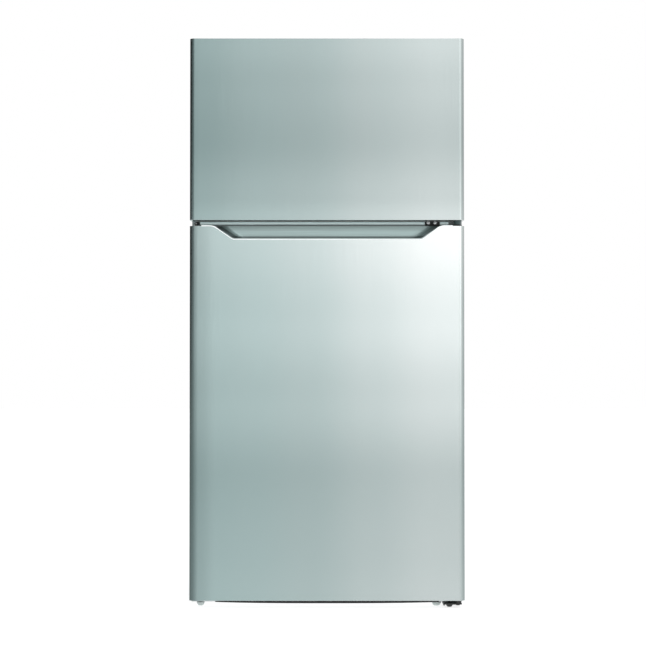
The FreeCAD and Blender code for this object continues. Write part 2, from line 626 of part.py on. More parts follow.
def roller(x):
    wheel = rod(ROLLER_R, (x - 10, ROLLER_Y, ROLLER_R), X_AXIS, 20)
    wheel = wheel.makeFillet(2, [e for e in wheel.Edges if e.Curve.TypeId == "Part::GeomCircle"])
    grooves = []
    for side in (x - 10, x + 8):
        seat = (side, ROLLER_Y, ROLLER_R)
        grooves.append(rod(11, seat, X_AXIS, 2).cut(rod(7, seat, X_AXIS, 2)))
    bore = rod(AXLE_R + CLEAR, (x - 20, ROLLER_Y, ROLLER_R), X_AXIS, 40)
    return cut_all(wheel, grooves + [bore])


def feet():
    keep("levelling_foot_left", levelling_foot(FOOT_LEFT_X, FOOT_Y, FOOT_R, 46, 10.5))
    keep("levelling_foot_right", levelling_foot(FOOT_RIGHT_X, FOOT_Y, FOOT_R, 46, 12))
    keep("hinge_foot", levelling_foot(HINGE_FOOT[0], HINGE_FOOT[1], AXLE_R, 19, 10))
    keep("rear_roller_left", roller(-ROLLER_X))
    keep("rear_roller_right", roller(ROLLER_X))


# ---- machine room ----
def compressor():
    x, y = COMPRESSOR
    low = PLATE_Z + 18
    lower = rod(86, (x, y, low + 8), Z_AXIS, 74)
    bottom = Vector(x, y, low + 8)
    lower = lower.makeFillet(26, [e for e in lower.Edges if e.CenterOfMass.distanceToPoint(bottom) < 1])
    upper = rod(83, (x, y, low + 78), Z_AXIS, 66)
    top = Vector(x, y, low + 144)
    upper = upper.makeFillet(46, [e for e in upper.Edges if e.CenterOfMass.distanceToPoint(top) < 1])
    seam = rod(89, (x, y, low + 76), Z_AXIS, 5)
    bracket = box(x - 78, x + 78, y - 80, y + 80, low, low + 3)
    neck = rod(50, (x, y, low), Z_AXIS, 20)
    stubs = [
        rod(5, (x - 40, y - 60, low + 50), Y_AXIS * -1, 26),
        rod(5, (x + 40, y - 60, low + 50), Y_AXIS * -1, 26),
    ]
    holes = [rod(6, (x + sx * 68, y + sy * 70, low - 5), Z_AXIS, 15) for sx in (-1, 1) for sy in (-1, 1)]
    keep("compressor", cut_all(fuse([lower, upper, seam, bracket, neck] + stubs), holes))

    grommets = []
    for sx in (-1, 1):
        for sy in (-1, 1):
            gx, gy = x + sx * 68, y + sy * 70
            grommets.append(fuse([
                rod(11, (gx, gy, PLATE_Z + 3), Z_AXIS, 15),
                rod(5.9, (gx, gy, PLATE_Z + 17), Z_AXIS, 4.5),
                rod(9, (gx, gy, low + 3), Z_AXIS, 4),
            ]))
    keep("compressor_grommets", *grommets)
    relay = fillet(box(x + 89, x + 120, y - 30, y + 34, low + 22, low + 84), 4, lambda c, d: abs(d.x) > 0.9)
    keep("compressor_relay_box", relay)


def base_plate():
    inside = CAB_HALF - SHEET
    plate = box(-inside, inside, MACHINE_Y, 352, PLATE_Z, PLATE_Z + 3)
    front = box(-inside, inside, MACHINE_Y, MACHINE_Y + 3, PLATE_Z, PLATE_Z + 25)
    parts = [plate, front]
    for side in (-1, 1):
        for x in (-14.0, 10.6):
            x0 = side * ROLLER_X + x
            parts.append(prism([(ROLLER_Y - 16, PLATE_Z + 1), (ROLLER_Y - 9, 9), (ROLLER_Y + 9, 9),
                                (ROLLER_Y + 16, PLATE_Z + 1)], "x", x0, 3.4, [0, 6, 6, 0]))
        parts.append(rod(AXLE_R, (side * ROLLER_X - 15, ROLLER_Y, ROLLER_R), X_AXIS, 30))
    keep("compressor_base_plate", fuse(parts))


def machine_room_rest():
    pan = tray(30, 300, 172, 336, PLATE_Z + 3, 96, 2.5, 16)
    keep("drain_pan", pan)

    cover = box(-CAB_HALF + SHEET, CAB_HALF - SHEET, 356, 357.5, 22, MACHINE_Z - SHEET)
    slots = []
    for column in range(9):
        for row in range(6):
            x = -290 + column * 64
            z = 60 + row * 28
            if abs(x + 22 - GLAND[0]) > 50 or abs(z + 4 - GLAND[1]) > 34:
                slots.append(box(x, x + 44, 350, 362, z, z + 8))
    bore = rod(9, (GLAND[0], 350, GLAND[1]), Y_AXIS, 20)
    keep("machine_room_cover", cut_all(cover, slots + [bore]))

    gland = fuse([
        rod(8.9, (GLAND[0], 350, GLAND[1]), Y_AXIS, 12),
        rod(14, (GLAND[0], 357.5, GLAND[1]), Y_AXIS, 4),
        rod(13, (GLAND[0], 351, GLAND[1]), Y_AXIS, 5),
        rod(10.5, (GLAND[0], 361, GLAND[1]), Y_AXIS, 6),
    ])
    keep("cord_gland", gland.cut(rod(4.2, (GLAND[0], 345, GLAND[1]), Y_AXIS, 30)))

    x, y = COMPRESSOR
    port = PLATE_Z + 68
    left = pipe([(x - 40, y - 86, port), (x - 40, y - 97, port), (x - 130, y - 97, port),
                 (x - 130, y - 97, MACHINE_Z - SHEET)], 9, 3.2)
    right = pipe([(x + 40, y - 86, port), (x + 40, y - 97, port), (x + 150, y - 97, port),
                  (x + 150, y - 97, MACHINE_Z - SHEET)], 9, 4)
    drier = rod(10, (230, 168, 120), Z_AXIS, 90)
    drier = drier.makeFillet(7, [e for e in drier.Edges if e.Curve.TypeId == "Part::GeomCircle"])
    lead = pipe([(230, 168, 208), (230, 168, 236), (300, 168, 236), (300, 168, MACHINE_Z - SHEET)], 6, 2.4)
    tail = pipe([(230, 168, 122), (230, 168, 104), (320, 168, 104), (320, 168, MACHINE_Z - SHEET)], 6, 1.6)
    keep("refrigerant_tubes", left, right, fuse([drier, lead, tail]))


# ---- cooling in the freezer ----
def evaporator():
    fins = [box(x - 0.4, x + 0.4, 248, 288, 1092, 1288) for x in [-220 + 20 * i for i in range(23)]]
    ends = both(box(-236, -234.5, 246, ROOM_BACK, 1086, 1294))
    tubes = []
    rows = [1108 + 32 * i for i in range(6)]
    for z in rows:
        tubes.append(rod(4, (-234.6, 268, z), X_AXIS, 469.2))
    for i in range(5):
        side = 1 if i % 2 == 0 else -1
        x = side * 234.6
        middle = (rows[i] + rows[i + 1]) / 2
        bend = Part.makeTorus(16, 4, Vector(x, 268, middle), Y_AXIS)
        keep_side = box(min(x, x + side * 30), max(x, x + side * 30), 255, 280, middle - 25, middle + 25)
        tubes.append(bend.common(keep_side))
    keep("evaporator", fuse(ends + fins + tubes))

    heater = [rod(6, (-225, 268, 1065), X_AXIS, 450)]
    for x in (-225.0, 213.0):
        heater.append(box(x, x + 12, 258, ROOM_BACK, 1057, 1073))
    keep("defrost_heater", fuse(heater))


def evaporator_cover():
    half, low, high = FREEZER_ROOM
    panel = box(-half + 1, half - 1, COVER_Y, COVER_Y + 2.5, low + 0.5, high - 0.5)
    rim = both(box(-half + 1, -half + 3.5, COVER_Y, 279, low + 0.5, high - 0.5))
    mouth = rod(48, (0, COVER_Y - 5, FAN_Z), Y_AXIS, 20)
    slots = []
    for i in range(15):
        x = -278 + 38 * i
        slots.append(box(x, x + 26, COVER_Y - 5, COVER_Y + 10, low + 14, low + 34))
    shell = cut_all(fuse([panel] + rim), [mouth] + slots)
    rings = []
    for radius in (18, 30, 42):
        hole = rod(radius - 2, (0, COVER_Y - 1, FAN_Z), Y_AXIS, 5)
        rings.append(rod(radius, (0, COVER_Y, FAN_Z), Y_AXIS, 2.5).cut(hole))
    spokes = []
    for i in range(4):
        spoke = box(-1, 1, COVER_Y, COVER_Y + 2.5, FAN_Z - 49, FAN_Z + 49)
        spoke.rotate(Vector(0, 0, FAN_Z), Y_AXIS, 45 * i)
        spokes.append(spoke)
    keep("evaporator_cover", fuse([shell] + rings + spokes))


def fan():
    body = rod(27, (0, 264, FAN_Z), Y_AXIS, 30)
    body = body.makeFillet(4, [e for e in body.Edges if near(e.CenterOfMass.y, 264)])
    foot = box(-44, 44, 292, ROOM_BACK, FAN_Z - 16, FAN_Z + 16)
    shaft = rod(3, (0, 244, FAN_Z), Y_AXIS, 24)
    keep("fan_motor", fuse([body, foot, shaft]))

    hub = rod(12, (0, 246, FAN_Z), Y_AXIS, 14)
    hub = hub.makeFillet(2.5, [e for e in hub.Edges if near(e.CenterOfMass.y, 246)])
    blades = []
    for i in range(5):
        blade = fillet(box(8, 44, -9, 9, -0.9, 0.9), 8, lambda c, d: abs(d.z) > 0.9 and near(c.x, 44))
        blade.rotate(Vector(0, 0, 0), X_AXIS, 38)
        blade.rotate(Vector(0, 0, 0), Y_AXIS, 72 * i)
        blade.translate(Vector(0, 253, FAN_Z))
        blades.append(blade)
    keep("fan_blade", fuse([hub] + blades).cut(rod(3 + CLEAR, (0, 240, FAN_Z), Y_AXIS, 30)))


def air_duct():
    half, front = DUCT
    low, high = FRIDGE_ROOM[2] + PLASTIC, FREEZER_ROOM[1] - PLASTIC
    through = box(-half, half, front, ROOM_BACK + PLASTIC, low, high)
    through = through.cut(box(-half + 3, half - 3, front + 3, ROOM_BACK - 2, low - 1, high + 1))
    ceiling = FRIDGE_ROOM[2]
    tower = box(-55, 55, 272, ROOM_BACK, 330, ceiling - ROOM_CORNER)
    head = box(-55, 55, 230, ROOM_BACK - ROOM_CORNER, 925, ceiling)
    body = tower.fuse(head)
    body = body.cut(box(-52.5, 52.5, 274.5, ROOM_BACK + 1, 332.5, ceiling - ROOM_CORNER - 2.5))
    body = body.cut(box(-52.5, 52.5, 232.5, ROOM_BACK - ROOM_CORNER - 0.5, 927.5, ceiling + 1))
    body = body.removeSplitter()
    body = fillet(body, 2, lambda c, d: abs(d.z) > 0.9 and near(c.y, 272) and abs(c.x) > 54)
    slots = []
    for lowest in (420, 620, 830):
        for z in (lowest, lowest + 12, lowest + 24):
            slots.append(box(-34, 34, 265, 280, z, z + 5))
    keep("air_duct", through, cut_all(body, slots))


# ---- fridge room fittings ----
def control_housing():
    half, front, back, low = HOUSING
    high = FRIDGE_ROOM[2]
    outer = box(-half, half, front, back, low, high)
    outer = fillet(outer, 12, lambda c, d: abs(d.z) > 0.9)
    outer = fillet(outer, 4, lambda c, d: near(c.z, low))
    body = outer.cut(box(-half + 2.5, half - 2.5, front + 2.5, back - 2.5, low + 2.5, high + 1))
    stem = rod(AXLE_R + CLEAR, (KNOB[0], KNOB[1], low - 5), Z_AXIS, 20)
    slot = box(SLIDER_X - 26, SLIDER_X + 26, KNOB[1] - 2.6, KNOB[1] + 2.6, low - 5, low + 10)
    plunger = rod(5 + CLEAR, (SWITCH[0], front - 5, SWITCH[1]), Y_AXIS, 20)
    louvres = [box(-100 + 22 * i, -86 + 22 * i, front - 1, front + 5, low + 14, low + 26) for i in range(6)]
    keep("control_housing", cut_all(body, [stem, slot, plunger] + louvres))

    lens = box(-64, 64, -112, -44, low - 12, low)
    lens = fillet(lens, 10, lambda c, d: abs(d.z) > 0.9)
    lens = fillet(lens, 6, lambda c, d: near(c.z, low - 12))
    keep("light_lens", lens.cut(box(-54, 54, -102, -54, low - 9, low + 1)))

    knob = rod(20, (KNOB[0], KNOB[1], low - 8), Z_AXIS, 7.5)
    grip = prism([(KNOB[0] - 5, KNOB[1] - 18), (KNOB[0] + 5, KNOB[1] - 18), (KNOB[0] + 5, KNOB[1] + 18),
                  (KNOB[0] - 5, KNOB[1] + 18)], "z", low - 18, 11, [4, 4, 4, 4])
    keep("temperature_knob", fuse([knob, grip, rod(AXLE_R, (KNOB[0], KNOB[1], low - 2), Z_AXIS, 14)]))

    pad = fillet(box(SLIDER_X - 9, SLIDER_X + 9, KNOB[1] - 8, KNOB[1] + 8, low - 7, low - 0.5), 2,
                 lambda c, d: abs(d.z) > 0.9)
    neck = box(SLIDER_X - 4, SLIDER_X + 4, KNOB[1] - 2.5, KNOB[1] + 2.5, low - 1, low + 5)
    keep("airflow_slider", fuse([pad, neck]))

    tip = FLANGE_BACK + DYKE_OUT + 0.5
    keep("door_switch_plunger", rod(5, (SWITCH[0], tip, SWITCH[1]), Y_AXIS, 34))


def shelves():
    half = FRIDGE_ROOM[0] - 3
    panes, frames = [], []
    levels = [(z, 268.0) for z in SHELF_HEIGHTS] + [(CRISPER_COVER, STEP_Y - 2)]
    for z, back in levels:
        pane = box(-half, half, SHELF_FRONT + 8, back - 6, z, z + GLASS)
        front = fillet(box(-half, half, SHELF_FRONT, SHELF_FRONT + 16, z - 8, z + 8), 5,
                       lambda c, d: abs(d.x) > 0.9 and near(c.y, SHELF_FRONT))
        rear = box(-half, half, back - 12, back, z - 8, z + 8)
        panes.append(pane)
        frames += [front.cut(pane), rear.cut(pane)]
    wall = box(-2, 2, SHELF_FRONT + 20, STEP_Y - 16, CRISPER_Z[0], CRISPER_COVER)
    hook = box(-2, 2, SHELF_FRONT + 12, STEP_Y - 8, CRISPER_COVER - 8, CRISPER_COVER)
    keep("shelf_glass", *panes)
    cover = fuse([frames[4], frames[5], wall, hook])
    keep("shelf_frames", *frames[:4], cover)


def crispers():
    x0, x1 = CRISPER_X
    y0, y1 = CRISPER_Y
    low, high = CRISPER_Z
    body = tray(x0, x1, y0 + 4, y1, low, high, 2.5, 12)
    front = fillet(box(x0, x1, y0, y0 + 7, low, high), 3, lambda c, d: near(c.y, y0))
    grip = prism([(x0 + 70, high - 40), (x1 - 70, high - 40), (x1 - 60, high - 14), (x0 + 60, high - 14)],
                 "y", y0 - 1, 5, [8, 8, 8, 8])
    drawer = body.fuse(front).cut(grip).removeSplitter()
    keep("crisper_right", drawer)
    keep("crisper_left", mirrored(drawer))


def freezer_shelf():
    half = FREEZER_ROOM[0] - 2
    z = FREEZER_SHELF + 2.5
    wires = [rod(2.5, (-half, y, z), X_AXIS, 2 * half) for y in (-190, -50, 90, 222)]
    for i in range(23):
        x = -275 + 25 * i
        wires.append(rod(1.6, (x, -190, z + 1), Y_AXIS, 412))
    keep("freezer_shelf", fuse(wires))


cabinet_shell()
base()
mullion()
foam()
fridge_liner()
freezer_liner()
fridge_door()
freezer_door()
top_hinge()
top_hinge_cover()
middle_hinge()
lower_hinge()
screws()
feet()
compressor()
base_plate()
machine_room_rest()
evaporator()
evaporator_cover()
fan()
air_duct()
control_housing()
shelves()
crispers()
freezer_shelf()

os.makedirs("parts", exist_ok=True)
for name, shape in made.items():
    shape.exportStep("parts/" + name + ".step")
    bounds = shape.BoundBox
    sides = (bounds.XMin, bounds.XMax, bounds.YMin, bounds.YMax, bounds.ZMin, bounds.ZMax)
    print(name, len(shape.Solids), shape.isValid(), round(shape.Volume / 1000, 1),
          [round(side, 1) for side in sides])
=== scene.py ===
"""Looks of a free-standing top freezer refrigerator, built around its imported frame.

Pieces are shaped in millimetres, in the frame's own axes, and brought to metres when they are finished.
"""

from __future__ import annotations

import json
import logging
import math
from dataclasses import dataclass
from enum import Enum
from typing import Callable, Iterable, Sequence

import bmesh
import bpy
from bmesh.types import BMEdge, BMesh, BMFace, BMVert
from bpy.types import Material, Node, NodeSocket, Object
from mathutils import Matrix, Vector

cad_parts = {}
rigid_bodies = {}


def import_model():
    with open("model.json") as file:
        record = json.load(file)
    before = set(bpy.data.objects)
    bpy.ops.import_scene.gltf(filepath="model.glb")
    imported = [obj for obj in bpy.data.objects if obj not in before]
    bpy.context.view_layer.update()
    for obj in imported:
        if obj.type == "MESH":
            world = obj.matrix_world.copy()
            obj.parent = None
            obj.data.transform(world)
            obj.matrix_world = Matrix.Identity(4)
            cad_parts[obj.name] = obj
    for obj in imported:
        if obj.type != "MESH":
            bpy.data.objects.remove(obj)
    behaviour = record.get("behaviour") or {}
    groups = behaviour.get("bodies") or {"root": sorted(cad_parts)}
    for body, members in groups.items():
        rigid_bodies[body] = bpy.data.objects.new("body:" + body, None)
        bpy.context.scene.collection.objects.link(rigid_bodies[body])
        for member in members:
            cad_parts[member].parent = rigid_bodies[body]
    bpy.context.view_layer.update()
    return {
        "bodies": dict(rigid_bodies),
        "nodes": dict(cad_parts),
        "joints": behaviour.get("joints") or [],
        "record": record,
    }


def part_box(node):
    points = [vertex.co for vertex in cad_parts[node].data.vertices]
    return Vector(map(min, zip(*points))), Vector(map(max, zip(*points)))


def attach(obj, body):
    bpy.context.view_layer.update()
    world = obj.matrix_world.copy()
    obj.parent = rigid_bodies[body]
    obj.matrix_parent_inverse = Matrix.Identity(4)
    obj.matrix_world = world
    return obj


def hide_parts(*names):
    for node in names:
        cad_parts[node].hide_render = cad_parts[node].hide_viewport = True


LOG = logging.getLogger("refrigerator")
MM = 0.001

Pair = tuple[float, float]
Triple = tuple[float, float, float]
Colour = Triple

X, Y, Z = 0, 1, 2
UP = (0.0, 0.0, 1.0)
FORWARD = (0.0, -1.0, 0.0)
BACKWARD = (0.0, 1.0, 0.0)
RIGHT = (1.0, 0.0, 0.0)
# Soft noise has most of its values in this span.
MID_NOISE = (0.3, 0.7)


# --------------------------------------------------------------------------------------------------
# Finishes
# --------------------------------------------------------------------------------------------------


class NodeSheet:
    """A material's node tree while it is laid out."""

    def __init__(self, name: str) -> None:
        """Starts a material with one principled shader.

        Args:
            name: the material's name.
        """
        self.material = bpy.data.materials.new(name)
        self.material.use_nodes = True
        self.tree = self.material.node_tree
        self.tree.nodes.clear()
        self.shader = self.add("ShaderNodeBsdfPrincipled")
        output = self.add("ShaderNodeOutputMaterial")
        self.link(self.shader.outputs["BSDF"], output.inputs["Surface"])
        self.place = self.add("ShaderNodeTexCoord").outputs["Object"]

    def add(self, kind: str, **settings: object) -> Node:
        """Adds a node.

        Args:
            kind: Blender's name of the node type.
            settings: attributes to set on it.

        Returns:
            The new node.
        """
        node = self.tree.nodes.new(kind)
        for key, value in settings.items():
            setattr(node, key, value)
        return node

    def link(self, source: NodeSocket, target: NodeSocket) -> None:
        """Wires one socket to another."""
        self.tree.links.new(source, target)

    def shade(self, **values: object) -> None:
        """Sets the shader's own sockets, named with underscores for spaces."""
        for key, value in values.items():
            self.shader.inputs[key.replace("_", " ")].default_value = value

    def stretched(self, scale: Triple) -> NodeSocket:
        """Stretches the object's coordinates.

        Args:
            scale: factors on the three axes.

        Returns:
            The stretched coordinates.
        """
        mapping = self.add("ShaderNodeMapping")
        mapping.inputs["Scale"].default_value = scale
        self.link(self.place, mapping.inputs["Vector"])
        return mapping.outputs["Vector"]

    def noise(self, scale: float, detail: float = 2.0, stretch: Triple = (1.0, 1.0, 1.0)) -> NodeSocket:
        """Adds noise on the object's coordinates.

        Args:
            scale: cells per metre before stretching.
            detail: octaves.
            stretch: factors on the three axes.

        Returns:
            The noise's grey output.
        """
        node = self.add("ShaderNodeTexNoise")
        node.inputs["Scale"].default_value = scale
        node.inputs["Detail"].default_value = detail
        self.link(self.stretched(stretch), node.inputs["Vector"])
        return node.outputs["Fac"]

    def remap(self, source: NodeSocket, span: Pair, out: Pair) -> NodeSocket:
        """Maps a grey value from one span to another.

        Args:
            source: the grey value.
            span: lowest and highest value coming in.
            out: lowest and highest value going out.

        Returns:
            The mapped value.
        """
        node = self.add("ShaderNodeMapRange")
        for name, value in zip(("From Min", "From Max", "To Min", "To Max"), (*span, *out)):
            node.inputs[name].default_value = value
        self.link(source, node.inputs["Value"])
        return node.outputs["Result"]

    def ramp(self, source: NodeSocket, stops: Sequence[tuple[float, Colour]]) -> NodeSocket:
        """Colours a grey value.

        Args:
            source: the grey value, 0 to 1.
            stops: places on the ramp and their colours, lowest first.

        Returns:
            The ramp's colour.
        """
        node = self.add("ShaderNodeValToRGB")
        node.color_ramp.interpolation = "EASE"
        elements = node.color_ramp.elements
        while len(elements) < len(stops):
            elements.new(0.5)
        for element, (at, colour) in zip(elements, stops):
            element.position = at
            element.color = (*colour, 1.0)
        self.link(source, node.inputs["Fac"])
        return node.outputs["Color"]

    def tinted(
        self, source: NodeSocket, stops: Sequence[Pair], colour: Colour = (1.0, 1.0, 1.0)
    ) -> NodeSocket:
        """Turns a grey value into lighter and darker tones of one colour.

        Args:
            source: the grey value, 0 to 1.
            stops: places on the ramp and the factors on the colour, lowest first.
            colour: the colour, or white for plain greys.

        Returns:
            The ramp's colour.
        """
        return self.ramp(source, [(at, scaled(colour, factor)) for at, factor in stops])

    def multiplied(self, a: NodeSocket, b: NodeSocket) -> NodeSocket:
        """Multiplies two colours.

        Args:
            a: one colour.
            b: the other.

        Returns:
            Their product.
        """
        node = self.add("ShaderNodeMix", data_type="RGBA", blend_type="MULTIPLY")
        factor, first, second = node.inputs[0], node.inputs[6], node.inputs[7]
        factor.default_value = 1.0
        self.link(a, first)
        self.link(b, second)
        return node.outputs[2]

    def feed(self, name: str, source: NodeSocket) -> None:
        """Wires a value to one of the shader's own sockets."""
        self.link(source, self.shader.inputs[name])

    def roughen(
        self, source: NodeSocket, roughness: float, less: float, more: float, span: Pair = MID_NOISE
    ) -> None:
        """Lets the roughness wander with a grey value.

        Args:
            source: the grey value.
            roughness: the roughness that it wanders about.
            less: how far down it goes.
            more: how far up it goes.
            span: lowest and highest grey value.
        """
        self.feed("Roughness", self.remap(source, span, (roughness - less, roughness + more)))

    def relief(self, height: NodeSocket, strength: float, depth_mm: float) -> None:
        """Adds a bump to the shader's normal.

        Args:
            height: the grey height.
            strength: share of the bump that is felt.
            depth_mm: depth of a full step in millimetres.
        """
        node = self.add("ShaderNodeBump")
        node.inputs["Strength"].default_value = strength
        node.inputs["Distance"].default_value = depth_mm * MM
        self.link(height, node.inputs["Height"])
        self.link(node.outputs["Normal"], self.shader.inputs["Normal"])


def scaled(colour: Colour, factor: float) -> Colour:
    """Gives a colour made lighter or darker by a factor."""
    return tuple(min(1.0, c * factor) for c in colour)


STEEL = (0.575, 0.70, 0.695)
EVEN = ((0.0, 1.0, 1.0), (1.0, 1.0, 1.0))


@dataclass(frozen=True)
class BrushedSteel:
    """Stainless sheet with a fine upright grain, and painted light and shade down and across the door.

    Attributes:
        name: the material's name.
        colour: the bare steel's colour.
        foot: where the tones down the door end.
        head: where they start.
        tones: painted light and shade from the foot to the head: places, levels and a red tint.
        across: painted light and shade from left to right: places, levels and a red tint.
        half: half the width that `across` covers.
        grain_cells: cells of the grain per metre on each axis.
        cross_cells: cells of the faint cross grain per metre on each axis.
        cloud_cells: cells of the slow cloudiness per metre.
        roughness: lowest and highest roughness in the grain.
        cloudiness: what the clouds add to it.
        grain_strength: share of the grain's relief that is felt.
        grain_depth_mm: depth of the grain.
    """

    name: str
    colour: Colour
    foot: float
    head: float
    tones: tuple[Triple, ...]
    across: tuple[Triple, ...] = EVEN
    half: float = 356.5
    grain_cells: Triple = (800.0, 800.0, 9.0)
    cross_cells: Triple = (60.0, 60.0, 1300.0)
    cloud_cells: float = 5.0
    roughness: Pair = (0.225, 0.245)
    cloudiness: Pair = (0.0, 0.02)
    grain_strength: float = 0.06
    grain_depth_mm: float = 0.02

    def painted_light_colour(self, sheet: NodeSheet) -> NodeSocket:
        """Lays the painted light and shade down and across the door.

        Args:
            sheet: the material's nodes.

        Returns:
            The steel's colour with the painted light and shade laid on.
        """
        split = sheet.add("ShaderNodeSeparateXYZ")
        sheet.link(sheet.place, split.inputs["Vector"])
        # Painted light and shade: tones down the door, then a dark left edge and a brighter, redder right
        # side across it.
        height = sheet.remap(split.outputs["Z"], (self.foot * MM, self.head * MM), (0.0, 1.0))
        red, green, blue = self.colour
        down = sheet.ramp(height, [(at, (red * warm * k, green * k, blue * k)) for at, k, warm in self.tones])
        width = sheet.remap(split.outputs["X"], (-self.half * MM, self.half * MM), (0.0, 1.0))
        side = sheet.ramp(width, [(at, (level * red, level, level)) for at, level, red in self.across])
        return sheet.multiplied(down, side)

    def make(self) -> Material:
        """Makes the material.

        Returns:
            The finished material.
        """
        sheet = NodeSheet(self.name)
        grain = sheet.noise(1.0, 2.0, self.grain_cells)
        cross = sheet.noise(1.0, 2.0, self.cross_cells)
        cloud = sheet.noise(self.cloud_cells, 2.0)
        streaks = sheet.tinted(grain, ((0.25, 0.97), (0.75, 0.99)))
        weave = sheet.tinted(cross, ((0.3, 0.985), (0.7, 1.0)))
        sheet.feed("Base Color", sheet.multiplied(sheet.multiplied(self.painted_light_colour(sheet), streaks), weave))
        rough = sheet.add("ShaderNodeMath", operation="ADD")
        sheet.link(sheet.remap(grain, (0.25, 0.75), self.roughness), rough.inputs[0])
        sheet.link(sheet.remap(cloud, MID_NOISE, self.cloudiness), rough.inputs[1])
        sheet.feed("Roughness", rough.outputs[0])
        sheet.relief(grain, self.grain_strength, self.grain_depth_mm)
        sheet.shade(Metallic=1.0)
        return sheet.material


@dataclass(frozen=True)
class Enamel:
    """Painted sheet with a fine orange-peel skin, a little cloudiness and darker flecks in its hollows."""

    name: str
    colour: Colour
    roughness: float = 0.42
    grain: float = 900.0
    depth_mm: float = 0.08
    metallic: float = 0.0
    coat: float = 0.0
    cloud_cells: float = 6.0
    peel_strength: float = 0.25

    def make(self) -> Material:
        """Makes the material.

        Returns:
            The finished material.
        """
        sheet = NodeSheet(self.name)
        peel = sheet.noise(self.grain, 2.0)
        cloud = sheet.noise(self.cloud_cells, 3.0)
        tint = sheet.tinted(cloud, ((0.3, 0.97), (0.7, 1.02)), self.colour)
        fleck = sheet.tinted(peel, ((0.35, 0.96), (0.65, 1.0)))
        sheet.feed("Base Color", sheet.multiplied(tint, fleck))
        sheet.roughen(cloud, self.roughness, 0.04, 0.05)
        sheet.relief(peel, self.peel_strength, self.depth_mm)
        sheet.shade(Metallic=self.metallic, Coat_Weight=self.coat)
        return sheet.material


@dataclass(frozen=True)
class Moulded:
    """Moulded or formed plastic with a faint flow mottling and a fine spark-eroded grain."""

    name: str
    colour: Colour
    roughness: float = 0.38
    grain: float = 1400.0
    depth_mm: float = 0.05
    # Emission strength: a painted glow on parts that are no lamp.
    lit: float = 0.0
    flow_cells: float = 9.0
    skin_strength: float = 0.2

    def make(self) -> Material:
        """Makes the material.

        Returns:
            The finished material.
        """
        sheet = NodeSheet(self.name)
        skin = sheet.noise(self.grain, 1.5)
        flow = sheet.noise(self.flow_cells, 3.0)
        sheet.feed("Base Color", sheet.tinted(flow, ((0.3, 0.985), (0.7, 1.015)), self.colour))
        sheet.roughen(flow, self.roughness, 0.03, 0.04)
        sheet.relief(skin, self.skin_strength, self.depth_mm)
        sheet.shade(Emission_Color=(*self.colour, 1.0), Emission_Strength=self.lit)
        return sheet.material


@dataclass(frozen=True)
class Clear:
    """Clear or frosted plastic or glass with faint swirls."""

    name: str
    colour: Colour
    roughness: float = 0.06
    ior: float = 1.49
    clarity: float = 0.92
    swirl_cells: float = 14.0
    swirl_strength: float = 0.1
    swirl_depth_mm: float = 0.2

    def make(self) -> Material:
        """Makes the material.

        Returns:
            The finished material.
        """
        sheet = NodeSheet(self.name)
        swirl = sheet.noise(self.swirl_cells, 2.0)
        sheet.feed("Base Color", sheet.tinted(swirl, ((0.3, 0.97), (0.7, 1.0)), self.colour))
        sheet.roughen(swirl, self.roughness, 0.0, 0.05)
        sheet.relief(swirl, self.swirl_strength, self.swirl_depth_mm)
        sheet.shade(IOR=self.ior, Transmission_Weight=self.clarity)
        return sheet.material


@dataclass(frozen=True)
class Spangled:
    """Bare metal: galvanised flakes, drawn tube or mill-finish sheet, by its flake size."""

    name: str
    colour: Colour
    roughness: float = 0.35
    flakes: float = 90.0
    contrast: float = 0.12
    stain_cells: float = 12.0
    skin_cells: float = 500.0
    skin_strength: float = 0.15
    skin_depth_mm: float = 0.04

    def make(self) -> Material:
        """Makes the material.

        Returns:
            The finished material.
        """
        sheet = NodeSheet(self.name)
        cells = sheet.add("ShaderNodeTexVoronoi")
        cells.inputs["Scale"].default_value = self.flakes
        sheet.link(sheet.place, cells.inputs["Vector"])
        grey = sheet.add("ShaderNodeSeparateColor")
        sheet.link(cells.outputs["Color"], grey.inputs["Color"])
        flake = grey.outputs["Red"]
        tint = sheet.tinted(flake, ((0.0, 1.0 - self.contrast), (1.0, 1.0 + self.contrast)), self.colour)
        stain = sheet.tinted(sheet.noise(self.stain_cells, 4.0), ((0.3, 0.96), (0.65, 1.0)))
        sheet.feed("Base Color", sheet.multiplied(tint, stain))
        sheet.roughen(flake, self.roughness, 0.06, 0.1, (0.0, 1.0))
        sheet.relief(sheet.noise(self.skin_cells, 2.0), self.skin_strength, self.skin_depth_mm)
        sheet.shade(Metallic=1.0)
        return sheet.material


@dataclass(frozen=True)
class Rubber:
    """Soft extruded rubber or vinyl with dust in its pores."""

    name: str
    colour: Colour
    roughness: float = 0.72
    pore_cells: float = 1100.0
    pore_strength: float = 0.3
    pore_depth_mm: float = 0.06
    dust_cells: float = 30.0

    def make(self) -> Material:
        """Makes the material.

        Returns:
            The finished material.
        """
        sheet = NodeSheet(self.name)
        pores = sheet.noise(self.pore_cells, 2.0)
        dust = sheet.noise(self.dust_cells, 3.0)
        sheet.feed("Base Color", sheet.tinted(dust, ((0.35, 1.0), (0.75, 1.25)), self.colour))
        sheet.roughen(dust, self.roughness, 0.05, 0.08)
        sheet.relief(pores, self.pore_strength, self.pore_depth_mm)
        return sheet.material


